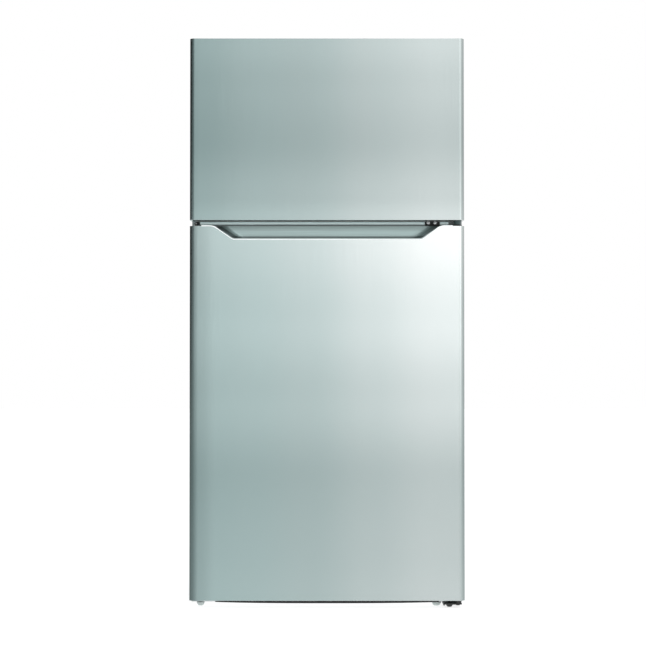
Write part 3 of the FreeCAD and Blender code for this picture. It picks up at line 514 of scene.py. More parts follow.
@dataclass(frozen=True)
class SlantedEnd:
    """One slanted end of the grip's scoop and the shade that falls along it.

    Attributes:
        foot: where the end meets the floor.
        lean: how far it leans for each millimetre up.
        inward: 1 for the left end, −1 for the right.
        shade: places from the end inwards and their levels.
    """

    foot: float
    lean: float
    inward: float
    shade: tuple[Pair, ...]

    def distance(self, sheet: NodeSheet, split: Node, floor: float) -> NodeSocket:
        """Gives the distance in from the end, in metres.

        Args:
            sheet: the material's nodes.
            split: the node that gives the coordinates one by one.
            floor: height of the scoop's floor.

        Returns:
            The distance.
        """
        node = sheet.add("ShaderNodeMath", operation="MULTIPLY_ADD")
        sheet.link(split.outputs["Z"], node.inputs[0])
        node.inputs[1].default_value = self.lean
        offset = sheet.add("ShaderNodeMath", operation="MULTIPLY_ADD")
        sheet.link(split.outputs["X"], offset.inputs[0])
        offset.inputs[1].default_value = self.inward
        offset.inputs[2].default_value = -(self.inward * self.foot + self.lean * floor) * MM
        sheet.link(offset.outputs[0], node.inputs[2])
        return node.outputs[0]


@dataclass(frozen=True)
class PocketSilver:
    """Silver moulding of the grip's scoop, with painted shade under its brow, at its foot and along its
    slanted ends.
    """

    name: str
    colour: Colour
    upper: float = 990.0
    lower: float = 958.0
    ends: tuple[SlantedEnd, ...] = (
        SlantedEnd(-243.0, 1.56, 1.0, ((0.0, 0.30), (0.35, 0.28), (0.46, 0.9), (0.6, 1.0))),
        SlantedEnd(245.0, 1.5, -1.0, ((0.0, 0.25), (0.2, 0.55), (0.6, 0.85), (1.0, 1.0))),
    )
    end_reach: float = 45.0
    # Painted shade: dark at the scoop's foot and under its brow, light between.
    tones: tuple[Pair, ...] = ((0.0, 0.25), (0.17, 0.32), (0.28, 0.95), (0.5, 0.96), (1.0, 0.6))
    line_cells: Triple = (6.0, 6.0, 420.0)
    grain_cells: float = 1600.0
    roughness: Pair = (0.36, 0.46)
    grain_strength: float = 0.15
    grain_depth_mm: float = 0.05
    metallic: float = 0.55

    def make(self) -> Material:
        """Makes the material.

        Returns:
            The finished material.
        """
        sheet = NodeSheet(self.name)
        split = sheet.add("ShaderNodeSeparateXYZ")
        sheet.link(sheet.place, split.inputs["Vector"])
        height = sheet.remap(split.outputs["Z"], (self.lower * MM, self.upper * MM), (0.0, 1.0))
        painted_light_colour = sheet.tinted(height, self.tones, self.colour)
        reach = (0.0, self.end_reach * MM)
        # Painted shade along both slanted ends.
        for end in self.ends:
            inward = sheet.remap(end.distance(sheet, split, self.lower), reach, (0.0, 1.0))
            painted_light_colour = sheet.multiplied(painted_light_colour, sheet.tinted(inward, end.shade))
        lines = sheet.tinted(sheet.noise(1.0, 2.0, self.line_cells), ((0.35, 0.9), (0.65, 1.0)))
        sheet.feed("Base Color", sheet.multiplied(painted_light_colour, lines))
        grain = sheet.noise(self.grain_cells, 2.0)
        sheet.feed("Roughness", sheet.remap(grain, MID_NOISE, self.roughness))
        sheet.relief(grain, self.grain_strength, self.grain_depth_mm)
        sheet.shade(Metallic=self.metallic)
        return sheet.material


class Finish(Enum):
    """Every finish on the refrigerator, with the record's slot that it belongs to."""

    STEEL_LOWER = "stainless"
    STEEL_UPPER = "stainless_upper"
    CABINET = "cabinet_paint"
    GALVANISED = "galvanised"
    BRACKET = "bracket_black"
    ZINC = "zinc"
    COMPRESSOR = "compressor_black"
    LINER = "liner_white"
    WHITE = "white_plastic"
    CAP = "cap_grey"
    BLACK = "black_plastic"
    CLEAR = "clear_plastic"
    LENS = "lens_plastic"
    GLASS = "glass"
    FOAM = "foam"
    GASKET = "gasket_grey"
    RUBBER = "rubber_black"
    COPPER = "copper"
    ALUMINIUM = "aluminium"
    WIRE = "wire_white"
    FOOT = "foot_grey"
    MULLION_GLOW = "cabinet_paint_pale"
    POCKET = "cap_grey_silver"
    LIP_HIGHLIGHT = "cap_grey_pale"
    BROW_SHADE = "cap_grey_dark"
    HEM_HIGHLIGHT = "stainless_hem"

    @property
    def slot(self) -> str:
        """The record's slot of this finish."""
        return {
            Finish.STEEL_UPPER: "stainless", Finish.HEM_HIGHLIGHT: "stainless", Finish.MULLION_GLOW: "cabinet_paint",
            Finish.POCKET: "cap_grey", Finish.LIP_HIGHLIGHT: "cap_grey", Finish.BROW_SHADE: "cap_grey",
        }.get(self, self.value)



RECIPES: dict[Finish, object] = {
    # Lower door: painted shade low down and at the left edge, painted light near its top and towards the
    # right, redder there.
    Finish.STEEL_LOWER: BrushedSteel(
        "steel_lower", STEEL, 21.0, 990.0, (
            (0.0, 0.68, 0.99), (0.13, 0.66, 0.98), (0.32, 0.65, 0.97), (0.54, 0.84, 1.0), (0.75, 1.02, 1.02),
            (1.0, 1.2, 1.06),
        ),
        (
            (0.0, 0.26, 0.9), (0.012, 0.42, 0.92), (0.035, 0.76, 0.94), (0.1, 0.9, 0.95), (0.22, 0.91, 0.965),
            (0.44, 0.92, 1.01), (0.66, 1.01, 1.07), (0.88, 1.09, 1.11), (0.975, 1.08, 1.11),
            (1.0, 0.72, 1.05),
        ),
    ),
    # Upper door: painted shade at mid height and at the left edge, painted light towards the right.
    Finish.STEEL_UPPER: BrushedSteel(
        "steel_upper", STEEL, 1005.0, 1478.0, (
            (0.0, 0.92, 1.01), (0.14, 0.81, 1.0), (0.43, 0.71, 0.98), (0.75, 0.78, 0.99), (1.0, 0.87, 1.0),
        ),
        (
            (0.0, 0.8, 0.93), (0.035, 0.92, 0.935), (0.22, 0.97, 0.975), (0.44, 0.94, 1.01),
            (0.66, 1.0, 1.07), (0.88, 1.03, 1.1), (1.0, 0.98, 1.1),
        ),
    ),
    Finish.CABINET: Enamel("cabinet_paint", (0.285, 0.325, 0.326), 0.4, 700.0, 0.12, 0.25, 0.2),
    Finish.GALVANISED: Spangled("galvanised", (0.56, 0.58, 0.59), 0.42, 150.0, 0.07),
    Finish.BRACKET: Enamel("bracket_black", (0.018, 0.02, 0.02), 0.45, 1600.0, 0.05),
    Finish.ZINC: Spangled("zinc", (0.68, 0.70, 0.71), 0.24, 400.0, 0.05),
    Finish.COMPRESSOR: Enamel("compressor_black", (0.012, 0.012, 0.013), 0.3, 500.0, 0.15, 0.0, 0.3),
    Finish.LINER: Moulded("liner_white", (0.80, 0.825, 0.825), 0.5, 1000.0, 0.008),
    Finish.WHITE: Moulded("white_plastic", (0.78, 0.80, 0.80), 0.45, 1500.0, 0.02),
    Finish.CAP: Moulded("cap_grey", (0.36, 0.42, 0.42), 0.42, 1700.0, 0.08),
    Finish.BLACK: Moulded("black_plastic", (0.02, 0.021, 0.022), 0.46, 1700.0, 0.08),
    Finish.CLEAR: Clear("clear_plastic", (0.93, 0.965, 0.975), 0.05, 1.49, 0.95),
    Finish.LENS: Clear("lens_plastic", (0.93, 0.94, 0.92), 0.35, 1.45, 0.6),
    Finish.GLASS: Clear("shelf_glass", (0.92, 0.97, 0.96), 0.02, 1.5, 0.98),
    Finish.FOAM: Moulded("foam", (0.78, 0.70, 0.46), 0.9, 260.0, 0.6),
    Finish.GASKET: Rubber("gasket_grey", (0.40, 0.43, 0.43), 0.62),
    Finish.RUBBER: Rubber("rubber_black", (0.025, 0.025, 0.026)),
    Finish.COPPER: Spangled("copper", (0.72, 0.36, 0.22), 0.3, 60.0, 0.06),
    Finish.ALUMINIUM: Spangled("aluminium", (0.78, 0.79, 0.80), 0.32, 300.0, 0.06),
    Finish.WIRE: Enamel("wire_white", (0.82, 0.84, 0.84), 0.3, 600.0, 0.05, 0.0, 0.3),
    Finish.FOOT: Moulded("foot_grey", (0.50, 0.56, 0.55), 0.45, 1500.0, 0.08),
    # Pale teal with a glow: painted light on the bead in the shaded gap between the doors.
    Finish.MULLION_GLOW: Moulded("mullion_silver_glowing", (0.70, 0.86, 0.86), 0.3, 700.0, 0.04, 0.3),
    Finish.POCKET: PocketSilver("pocket_silver", (0.52, 0.66, 0.65)),
    # Near-white with a faint glow: painted highlight along the notch's lower edge.
    Finish.LIP_HIGHLIGHT: Moulded("grip_lip", (0.86, 0.89, 0.89), 0.3, 1500.0, 0.04, 0.04),
    # Near-black copy of the cap grey for the freezer's bottom cap: painted shade in the gap between the
    # doors.
    Finish.BROW_SHADE: Moulded("cap_grey_dark", (0.07, 0.115, 0.115), 0.5, 1700.0, 0.06),
    # Near-white steel on the hems' fronts: a painted highlight.
    Finish.HEM_HIGHLIGHT: BrushedSteel("steel_hem_painted_highlight", (0.95, 0.98, 0.98), 0.0, 1500.0, EVEN),
}


class Palette:
    """Makes each finish once, when it is first asked for."""

    def __init__(self) -> None:
        """Starts with nothing mixed."""
        self.mixed: dict[Finish, Material] = {}

    def get(self, finish: Finish) -> Material:
        """Gives the material of a finish.

        Args:
            finish: the finish.

        Returns:
            Its material.
        """
        if finish not in self.mixed:
            self.mixed[finish] = RECIPES[finish].make()
        return self.mixed[finish]


# --------------------------------------------------------------------------------------------------
# Shaping
# --------------------------------------------------------------------------------------------------


@dataclass(frozen=True)
class Span:
    """A box in millimetres."""

    low: Vector
    high: Vector

    @classmethod
    def of(cls, node: str) -> "Span":
        """Gives the box of a node of the frame."""
        low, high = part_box(node)
        return cls(Vector(low) / MM, Vector(high) / MM)

    @property
    def centre(self) -> Vector:
        """The box's middle."""
        return (self.low + self.high) / 2

    @property
    def size(self) -> Vector:
        """The box's three sides."""
        return self.high - self.low


def slab(bm: BMesh, low: Sequence[float], high: Sequence[float]) -> list[BMVert]:
    """Adds a box between two corners.

    Args:
        bm: the mesh it goes in.
        low: the lowest corner.
        high: the highest corner.

    Returns:
        The box's corners.
    """
    a, b = Vector(low), Vector(high)
    place = Matrix.Translation((a + b) / 2) @ Matrix.Diagonal((*(b - a), 1.0))
    return bmesh.ops.create_cube(bm, size=1.0, matrix=place)["verts"]


def bevel(
    bm: BMesh, geom: Sequence[BMVert] | Sequence[BMEdge], radius: float, segments: int, affect: str = "EDGES"
) -> list[BMFace]:
    """Rounds edges or corners off.

    Args:
        bm: the mesh.
        geom: the edges, or the corners.
        radius: how far from them the rounding starts.
        segments: steps round it.
        affect: EDGES or VERTICES.

    Returns:
        The new faces.
    """
    return bmesh.ops.bevel(
        bm, geom=geom, offset=radius, offset_type="OFFSET", segments=segments, profile=0.5, affect=affect,
        clamp_overlap=True, material=-1,
    )["faces"]


def round_edges(
    bm: BMesh,
    wanted: Callable[[Vector, Vector], bool],
    radius: float,
    segments: int = 4,
) -> None:
    """Rounds the edges that pass a test on their middle and direction.

    Args:
        bm: the mesh.
        wanted: the test, given an edge's middle and its direction.
        radius: the rounding in millimetres.
        segments: steps round it.
    """
    picked = []
    for edge in bm.edges:
        a, b = (v.co for v in edge.verts)
        if (b - a).length > 1e-6 and wanted((a + b) / 2, (b - a).normalized()):
            picked.append(edge)
    bevel(bm, picked, radius, segments)


def pointing(axis: Sequence[float]) -> Matrix:
    """Gives the turn that takes the upright axis to another one."""
    return Vector(UP).rotation_difference(Vector(axis)).to_matrix()


def lathe(
    bm: BMesh,
    profile: Sequence[Pair],
    centre: Sequence[float],
    axis: Sequence[float] = UP,
    steps: int = 48,
) -> None:
    """Turns a profile of (radius, height) round an axis.

    Args:
        bm: the mesh it goes in.
        profile: radii and heights along the axis, from its foot up.
        centre: the axis's foot.
        axis: the axis's direction.
        steps: facets round it.
    """
    turn = pointing(axis)
    origin = Vector(centre)
    verts = [bm.verts.new(origin + turn @ Vector((r, 0.0, h))) for r, h in profile]
    edges = [bm.edges.new(pair) for pair in zip(verts, verts[1:])]
    bmesh.ops.spin(
        bm, geom=verts + edges, cent=origin, axis=Vector(axis), angle=math.tau, steps=steps, use_merge=True,
        use_duplicate=False, dvec=(0.0, 0.0, 0.0),
    )
    bmesh.ops.remove_doubles(bm, verts=bm.verts, dist=0.001)


def near(a: float, b: float, gap: float = 0.05) -> bool:
    """Says whether two numbers lie within a gap."""
    return abs(a - b) < gap


class Shop:
    """Turns shaped meshes into finished pieces that ride on the frame's bodies."""

    def __init__(self, frame: dict) -> None:
        """Notes the frame.
        """
        self.nodes: dict[str, Object] = frame["nodes"]
        self.palette = Palette()
        self.body = {n: b for b, names in frame["record"]["behaviour"]["bodies"].items() for n in names}
        self.done: set[str] = set()

    def finish(
        self,
        name: str,
        bm: BMesh,
        finish: Finish,
        body: str,
        replaces: Sequence[str] = (),
        crease: float = 32.0,
        soften: float = 0.0,
        face_out: bool = True,
        trim: Finish | None = None,
    ) -> Object:
        """Finishes one piece.

        Args:
            name: the piece's name.
            bm: its mesh in millimetres, which is used up.
            finish: what it is dressed in.
            body: the frame's body that it rides on.
            replaces: the frame's nodes that it stands for.
            crease: edges sharper than this many degrees stay crisp.
            soften: radius of a fine edge rounding, or 0 for none.
            face_out: whether its faces are turned outwards first.
            trim: the finish of the faces whose material index is 1.

        Returns:
            The new object.
        """
        bmesh.ops.remove_doubles(bm, verts=bm.verts, dist=0.0005)
        if face_out:
            bmesh.ops.recalc_face_normals(bm, faces=bm.faces)
        bmesh.ops.scale(bm, vec=(MM, MM, MM), verts=bm.verts)
        mesh = bpy.data.meshes.new(name)
        bm.to_mesh(mesh)
        bm.free()
        mesh.shade_smooth()
        mesh.set_sharp_from_angle(angle=math.radians(crease))
        for wanted in (finish, trim) if trim else (finish,):
            mesh.materials.append(self.palette.get(wanted))
        piece = bpy.data.objects.new(name, mesh)
        bpy.context.scene.collection.objects.link(piece)
        if soften:
            rounding = piece.modifiers.new("soften", "BEVEL")
            rounding.width = soften * MM
            rounding.segments = 2
            rounding.limit_method = "ANGLE"
            rounding.angle_limit = math.radians(crease)
            rounding.harden_normals = True
        even = piece.modifiers.new("even", "WEIGHTED_NORMAL")
        even.keep_sharp = True
        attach(piece, body)
        finish.slot
        if replaces:
            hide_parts(*replaces)
            self.done.update(replaces)
        LOG.info("%s: %d faces on %s", name, len(mesh.polygons), body)
        return piece

    def refine(self, node: str, finish: Finish, soften: float = 0.4, crease: float = 28.0) -> Object:
        """Makes a node again as one closed skin with fine rounded edges.

        Args:
            node: the frame's node.
            finish: what the piece is dressed in.
            soften: radius of the edge rounding.
            crease: edges sharper than this many degrees are rounded.

        Returns:
            The new piece.
        """
        bm = bmesh.new()
        bm.from_mesh(self.nodes[node].data)
        bmesh.ops.remove_doubles(bm, verts=bm.verts, dist=1e-6)
        bmesh.ops.dissolve_limit(bm, angle_limit=math.radians(0.3), verts=bm.verts, edges=bm.edges)
        bmesh.ops.scale(bm, vec=(1 / MM,) * 3, verts=bm.verts)
        return self.finish(
            f"{node}_piece", bm, finish, self.body[node], [node], crease, soften, face_out=False
        )

    def dress(self, node: str, finish: Finish) -> None:
        """Gives a node that stays its finish.

        Args:
            node: the frame's node.
            finish: what it is dressed in.
        """
        shown = self.nodes[node]
        shown.data.materials.clear()
        shown.data.materials.append(self.palette.get(finish))
        self.done.add(node)


def box_faces(bm: BMesh, axis: int, sign: float) -> list[BMFace]:
    """Gives the faces that look along one axis.

    Args:
        bm: the mesh.
        axis: X, Y or Z.
        sign: 1 or −1, the way they look.

    Returns:
        The faces.
    """
    bm.normal_update()
    return [face for face in bm.faces if face.normal[axis] * sign > 0.9]


def upright(_: Vector, way: Vector) -> bool:
    """Says whether an edge stands upright."""
    return abs(way.z) > 0.7


def everywhere(_: Vector, __: Vector) -> bool:
    """Accepts any edge."""
    return True


def block(
    low: Sequence[float],
    high: Sequence[float],
    radius: float,
    segments: int = 3,
    wanted: Callable[[Vector, Vector], bool] = everywhere,
) -> BMesh:
    """Makes a box with rounded edges.

    Args:
        low: the lowest corner.
        high: the highest corner.
        radius: the rounding.
        segments: steps round it.
        wanted: which edges are rounded.

    Returns:
        The mesh.
    """
    bm = bmesh.new()
    slab(bm, low, high)
    round_edges(bm, wanted, radius, segments)
    return bm


def merge(target: BMesh, source: BMesh) -> None:
    """Adds one mesh to another and frees it.

    Args:
        target: the mesh that grows.
        source: the mesh that is used up.
    """
    carrier = bpy.data.meshes.new("carrier")
    source.to_mesh(carrier)
    source.free()
    target.from_mesh(carrier)
    bpy.data.meshes.remove(carrier)


def cut(bm: BMesh, axis: int, at: float, faces: Iterable[BMFace] | None = None) -> None:
    """Scores a mesh along a plane that stands square to one axis.

    Args:
        bm: the mesh.
        axis: X, Y or Z.
        at: where the plane crosses that axis.
        faces: the faces that are scored, or all of them.
    """
    normal = Vector([float(i == axis) for i in (X, Y, Z)])
    picked = list(bm.faces if faces is None else faces)
    edges = {edge for face in picked for edge in face.edges}
    verts = {vert for face in picked for vert in face.verts}
    bmesh.ops.bisect_plane(
        bm, geom=[*picked, *edges, *verts], dist=0.001, plane_co=normal * at, plane_no=normal
    )


def extruded(bm: BMesh, edges: Sequence[BMEdge]) -> tuple[list[BMVert], list[BMEdge]]:
    """Extrudes edges where they are.

    Args:
        bm: the mesh.
        edges: the edges.

    Returns:
        The new corners and the edges between them.
    """
    grown = bmesh.ops.extrude_edge_only(bm, edges=edges)["geom"]
    verts = [g for g in grown if isinstance(g, BMVert)]
    return verts, [g for g in grown if isinstance(g, BMEdge) and all(v in verts for v in g.verts)]


def thicken(bm: BMesh, wall: float) -> None:
    """Gives a skin a wall on its inner side."""
    bmesh.ops.recalc_face_normals(bm, faces=bm.faces)
    bmesh.ops.solidify(bm, geom=list(bm.faces), thickness=wall)


@dataclass(frozen=True)
class TubShape:
    """How an open moulded tub is formed.

    Attributes:
        draft: how far its foot is drawn in on each side.
        corner: radius of its upright corners.
        rim: how far its rim stands out sideways and backwards, and how far it turns down.
        wall: thickness of its wall.
        foot: radius round its floor.
        dip: depth, inner and outer half width of its lowered back edge, where it has one.
    """

    draft: float
    corner: float
    rim: Triple
    wall: float
    foot: float = 7.0
    dip: Triple | None = None

    def make(self, low: Vector, high: Vector) -> BMesh:
        """Makes the tub.

        Args:
            low: lowest corner of its body.
            high: highest corner of its body.

        Returns:
            The mesh.
        """
        bm = bmesh.new()
        middle = (low + high) / 2
        size = high - low
        slab(bm, low, high)
        shrink = [1.0 - 2.0 * self.draft / size[i] for i in (X, Y)]
        floor = [v for v in bm.verts if v.co.z < middle.z]
        bmesh.ops.scale(bm, vec=(*shrink, 1.0), space=Matrix.Translation(-middle), verts=floor)
        bmesh.ops.delete(bm, geom=box_faces(bm, Z, 1.0), context="FACES_ONLY")
        round_edges(bm, upright, self.corner, 6)
        round_edges(bm, lambda at, way: near(at.z, low.z) and abs(way.z) < 0.2, self.foot, 3)
        side, back, turn = self.rim
        grow = ((size.x + 2 * side) / size.x, (size.y + back) / size.y, 1.0)
        edges = [e for e in bm.edges if e.is_boundary]
        for vec, drop in ((grow, 0.0), ((1.0, 1.0, 1.0), turn)):
            verts, edges = extruded(bm, edges)
            bmesh.ops.scale(bm, vec=vec, space=Matrix.Translation((-middle.x, -low.y, 0.0)), verts=verts)
            bmesh.ops.translate(bm, vec=(0.0, 0.0, -drop), verts=verts)
        if self.dip:
            lower_back_edge(bm, middle, high, self.dip)
        thicken(bm, self.wall)
        return bm


def lower_back_edge(bm: BMesh, middle: Vector, high: Vector, dip: Triple, reach: float = 12.0) -> None:
    """Lowers the middle of a tub's back edge in a soft curve.

    Args:
        bm: the tub's skin.
        middle: the tub's middle.
        high: the tub's highest corner.
        dip: depth, inner and outer half width.
        reach: how far below the highest corner it takes hold.
    """
    depth, inner, outer = dip
    steps = 6
    for side in (-1.0, 1.0):
        for step in range(steps + 1):
            cut(bm, X, middle.x + side * (inner + (outer - inner) * step / steps))
    for vert in bm.verts:
        if vert.co.z > high.z - reach and vert.co.y > middle.y:
            share = min(1.0, max(0.0, (outer - abs(vert.co.x - middle.x)) / (outer - inner)))
            vert.co.z -= depth * share * share * (3.0 - 2.0 * share)


def standing_loop(bm: BMesh, half: float, low: float, high: float, y: float) -> list[BMEdge]:
    """Adds a rectangular loop that stands across the front.

    Args:
        bm: the mesh.
        half: half its width.
        low: its lower edge.
        high: its upper edge.
        y: its depth.

    Returns:
        The loop's edges.
    """
    verts = bmesh.ops.create_grid(bm, x_segments=1, y_segments=1, size=1.0)["verts"]
    face = verts[0].link_faces[0]
    for vert in verts:
        vert.co = Vector((vert.co.x * half, y, low if vert.co.y < 0 else high))
    edges = list(face.edges)
    bmesh.ops.delete(bm, geom=[face], context="FACES_ONLY")
    return edges


# --------------------------------------------------------------------------------------------------
# Sub-assemblies
# --------------------------------------------------------------------------------------------------


@dataclass
class HexScrew:
    """A self-tapping screw with a hexagon head and a pressed washer."""

    shop: Shop
    head: float = 4.2
    height: float = 3.2
    washer: float = 6.2
    chamfer: float = 0.4

    def at(self, bm: BMesh, place: Sequence[float], axis: Sequence[float]) -> None:
        """Adds one screw to a mesh.

        Args:
            bm: the mesh it goes in.
            place: middle of the face it bears on.
            axis: the way its head points.
        """
        disc = [(0.0, 0.1), (self.washer, 0.1), (self.washer, 0.5), (self.head, 1.0), (0.0, 1.0)]
        lathe(bm, disc, place, axis, 20)
        middle = Vector(place) + Vector(axis) * (0.9 + self.height / 2)
        put = Matrix.Translation(middle) @ pointing(axis).to_4x4()
        head = bmesh.new()
        bmesh.ops.create_cone(
            head, cap_ends=True, segments=6, radius1=self.head, radius2=self.head * 0.97, depth=self.height,
            matrix=put,
        )
        round_edges(head, everywhere, self.chamfer, 1)
        merge(bm, head)

    def row(self, name: str, places: Iterable[Sequence[float]], axis: Sequence[float]) -> None:
        """Drives a set of the cabinet's screws as one piece.

        Args:
            name: the piece's name.
            places: where they go.
            axis: the way their heads point.
        """
        bm = bmesh.new()
        for place in places:
            self.at(bm, place, axis)
        self.shop.finish(name, bm, Finish.ZINC, "cabinet")


@dataclass
class DoorLeaf:
    """One door: folded steel skin, end caps, lining and magnetic gasket."""

    shop: Shop
    door: str
    steel: Finish
    foot_cap: Finish
    corner: float = 12.0
    back_corner: float = 1.6
    hem: float = 3.0
    foot_hem: float = 3.0
    turned: float = 8.0
    flange: float = 12.0
    sheet: float = 0.9
    notch: tuple[Pair, ...] = ()
    notch_round: Pair = (36.0, 16.0)
    notch_lean: float = math.radians(35.1)
    seal_margin: float = 1.0
    seal: tuple[Pair, ...] = (
        (1.0, -314.0), (0.3, -312.7), (3.8, -311.6), (3.8, -311.0), (0.0, -309.9), (0.4, -306.0),
        (2.2, -304.6), (17.2, -304.6), (19.3, -305.9), (20.0, -308.6), (16.2, -309.8), (16.2, -311.0),
        (19.8, -312.4), (19.2, -314.0),
    )
    strip_inset: float = 0.6
    strip_sunk: float = 0.2
    strip_proud: float = 1.2

    @property
    def body(self) -> str:
        """The frame's body of this door."""
        return f"{self.door}_door"

    def outline(self, bm: BMesh, span: Span) -> BMFace:
        """Lays the front's outline, notch included, with the notch's corners rounded.

        Args:
            bm: the mesh it goes in.
            span: the skin's box.

        Returns:
            The face.
        """
        low, high = span.low, span.high
        corners = [(low.x, low.z), (high.x, low.z), (high.x, high.z), *self.notch, (low.x, high.z)]
        bm.faces.new([bm.verts.new((x, low.y, z)) for x, z in corners])
        shoulder, foot = self.notch_round
        for x, z in self.notch:
            corner = min(bm.verts, key=lambda v: abs(v.co.x - x) + abs(v.co.z - z))
            radius = shoulder if near(z, high.z) else foot
            bevel(bm, [corner], radius * math.tan(self.notch_lean / 2), 8, "VERTICES")
        return next(iter(bm.faces))

    def skin(self) -> None:
        """Folds the steel skin: rounded uprights, rolled hems and a narrow flange at the back."""
        node = f"{self.door}_door_panel"
        span = Span.of(node)
        low, high = span.low, span.high
        bm = bmesh.new()
        grown = bmesh.ops.extrude_face_region(bm, geom=[self.outline(bm, span)])["geom"]
        moved = [g for g in grown if isinstance(g, BMVert)]
        bmesh.ops.translate(bm, vec=(0.0, span.size.y, 0.0), verts=moved)
        bmesh.ops.recalc_face_normals(bm, faces=bm.faces)
        for y, radius, segments in ((low.y, self.corner, 10), (high.y, self.back_corner, 3)):
            round_edges(
                bm,
                lambda at, way: upright(at, way) and near(abs(at.x), high.x) and near(at.y, y),
                radius,
                segments,
            )
        for at_foot, radius in ((True, self.foot_hem), (False, self.hem)):
            hems = [
                edge for edge in bm.edges
                if self.turned_in(edge, high.y - self.hem) and (edge.verts[0].co.z < span.centre.z) == at_foot
            ]
            # The fronts of the rolled hems take the near-white hem steel: a painted highlight along the
            # door's top and foot.
            for face in bevel(bm, hems, radius, 5):
                if face.calc_center_median().y < low.y + radius:
                    face.material_index = 1
        self.open_ends(bm, span)
        thicken(bm, self.sheet)
        self.shop.finish(
            f"{self.door}_door_skin", bm, self.steel, self.body, [node], face_out=False, trim=Finish.HEM_HIGHLIGHT
        )

    def turned_in(self, edge: BMEdge, back: float) -> bool:
        """Says whether an edge borders a wall that is turned in at the skin's top or foot.

        Args:
            edge: the edge.
            back: edges that lie wholly behind this depth aren't counted.

        Returns:
            Whether it does.
        """
        if len(edge.link_faces) != 2 or edge.calc_face_angle(0.0) < 0.6:
            return False
        flat = [abs(face.normal.z) < 0.2 for face in edge.link_faces]
        return flat[0] != flat[1] and min(v.co.y for v in edge.verts) < back

    def open_ends(self, bm: BMesh, span: Span) -> None:
        """Cuts the ends and the back away inside the turned-in edges.

        Args:
            bm: the closed skin.
            span: its box.
        """
        edge_x = span.high.x - self.turned
        edge_y = span.low.y + self.turned
        back_x = span.high.x - self.flange
        bm.normal_update()
        for axis, at in ((X, -edge_x), (X, edge_x), (Y, edge_y)):
            cut(bm, axis, at, [f for f in bm.faces if abs(f.normal.z) > 0.3])
        for x in (-back_x, back_x):
            cut(bm, X, x, [f for f in bm.faces if f.normal.y > 0.9])
        bm.normal_update()
        gone = []
        for face in bm.faces:
            centre = face.calc_center_median()
            ends = abs(face.normal.z) > 0.3 and abs(centre.x) < edge_x and centre.y > edge_y
            back = face.normal.y > 0.9 and abs(centre.x) < back_x
            if ends or back:
                gone.append(face)
        bmesh.ops.delete(bm, geom=gone, context="FACES")

    def gasket(self) -> None:
        """Draws the gasket's bellows section round the door."""
        node = f"{self.door}_door_gasket"
        span = Span.of(node)
        half = span.high.x - self.seal_margin
        low, high = span.low.z + self.seal_margin, span.high.z - self.seal_margin
        bm = bmesh.new()
        edges = standing_loop(bm, half, low, high, span.low.y)
        for inset, y in (*self.seal, self.seal[0]):
            verts, edges = extruded(bm, edges)
            for vert in verts:
                z = low + inset if vert.co.z < span.centre.z else high - inset
                vert.co = Vector((math.copysign(half - inset, vert.co.x), y, z))
        start = [
            v for v in bm.verts
            if len(v.link_faces) == 2 and near(abs(v.co.x), half) and near(v.co.y, span.low.y)
        ]
        bmesh.ops.delete(bm, geom=start, context="VERTS")
        self.shop.finish(f"{self.door}_door_seal", bm, Finish.GASKET, self.body, [node], crease=50.0)

    def edge_strips(self) -> None:
        """Closes the foam's edge between the end caps and the lining with two thin strips."""
        skin = Span.of(f"{self.door}_door_panel")
        lining = Span.of(f"{self.door}_door_liner")
        half = skin.high.x - self.flange - 0.5
        front, back = skin.high.y - self.strip_sunk, skin.high.y + self.strip_proud
        bm = bmesh.new()
        for low, high in (
            (skin.low.z + self.strip_inset, lining.low.z), (lining.high.z, skin.high.z - self.strip_inset),
        ):
            merge(bm, block((-half, front, low), (half, back, high), 0.5, 3))
        self.shop.finish(f"{self.door}_door_edge_strips", bm, Finish.LINER, self.body)

    def build(self) -> None:
        """Builds the door."""
        self.skin()
        self.gasket()
        self.edge_strips()
        self.shop.refine(f"{self.door}_door_top_cap", Finish.CAP, 0.6)
        self.shop.refine(f"{self.door}_door_bottom_cap", self.foot_cap, 0.6)
        self.shop.refine(f"{self.door}_door_liner", Finish.LINER, 1.2)


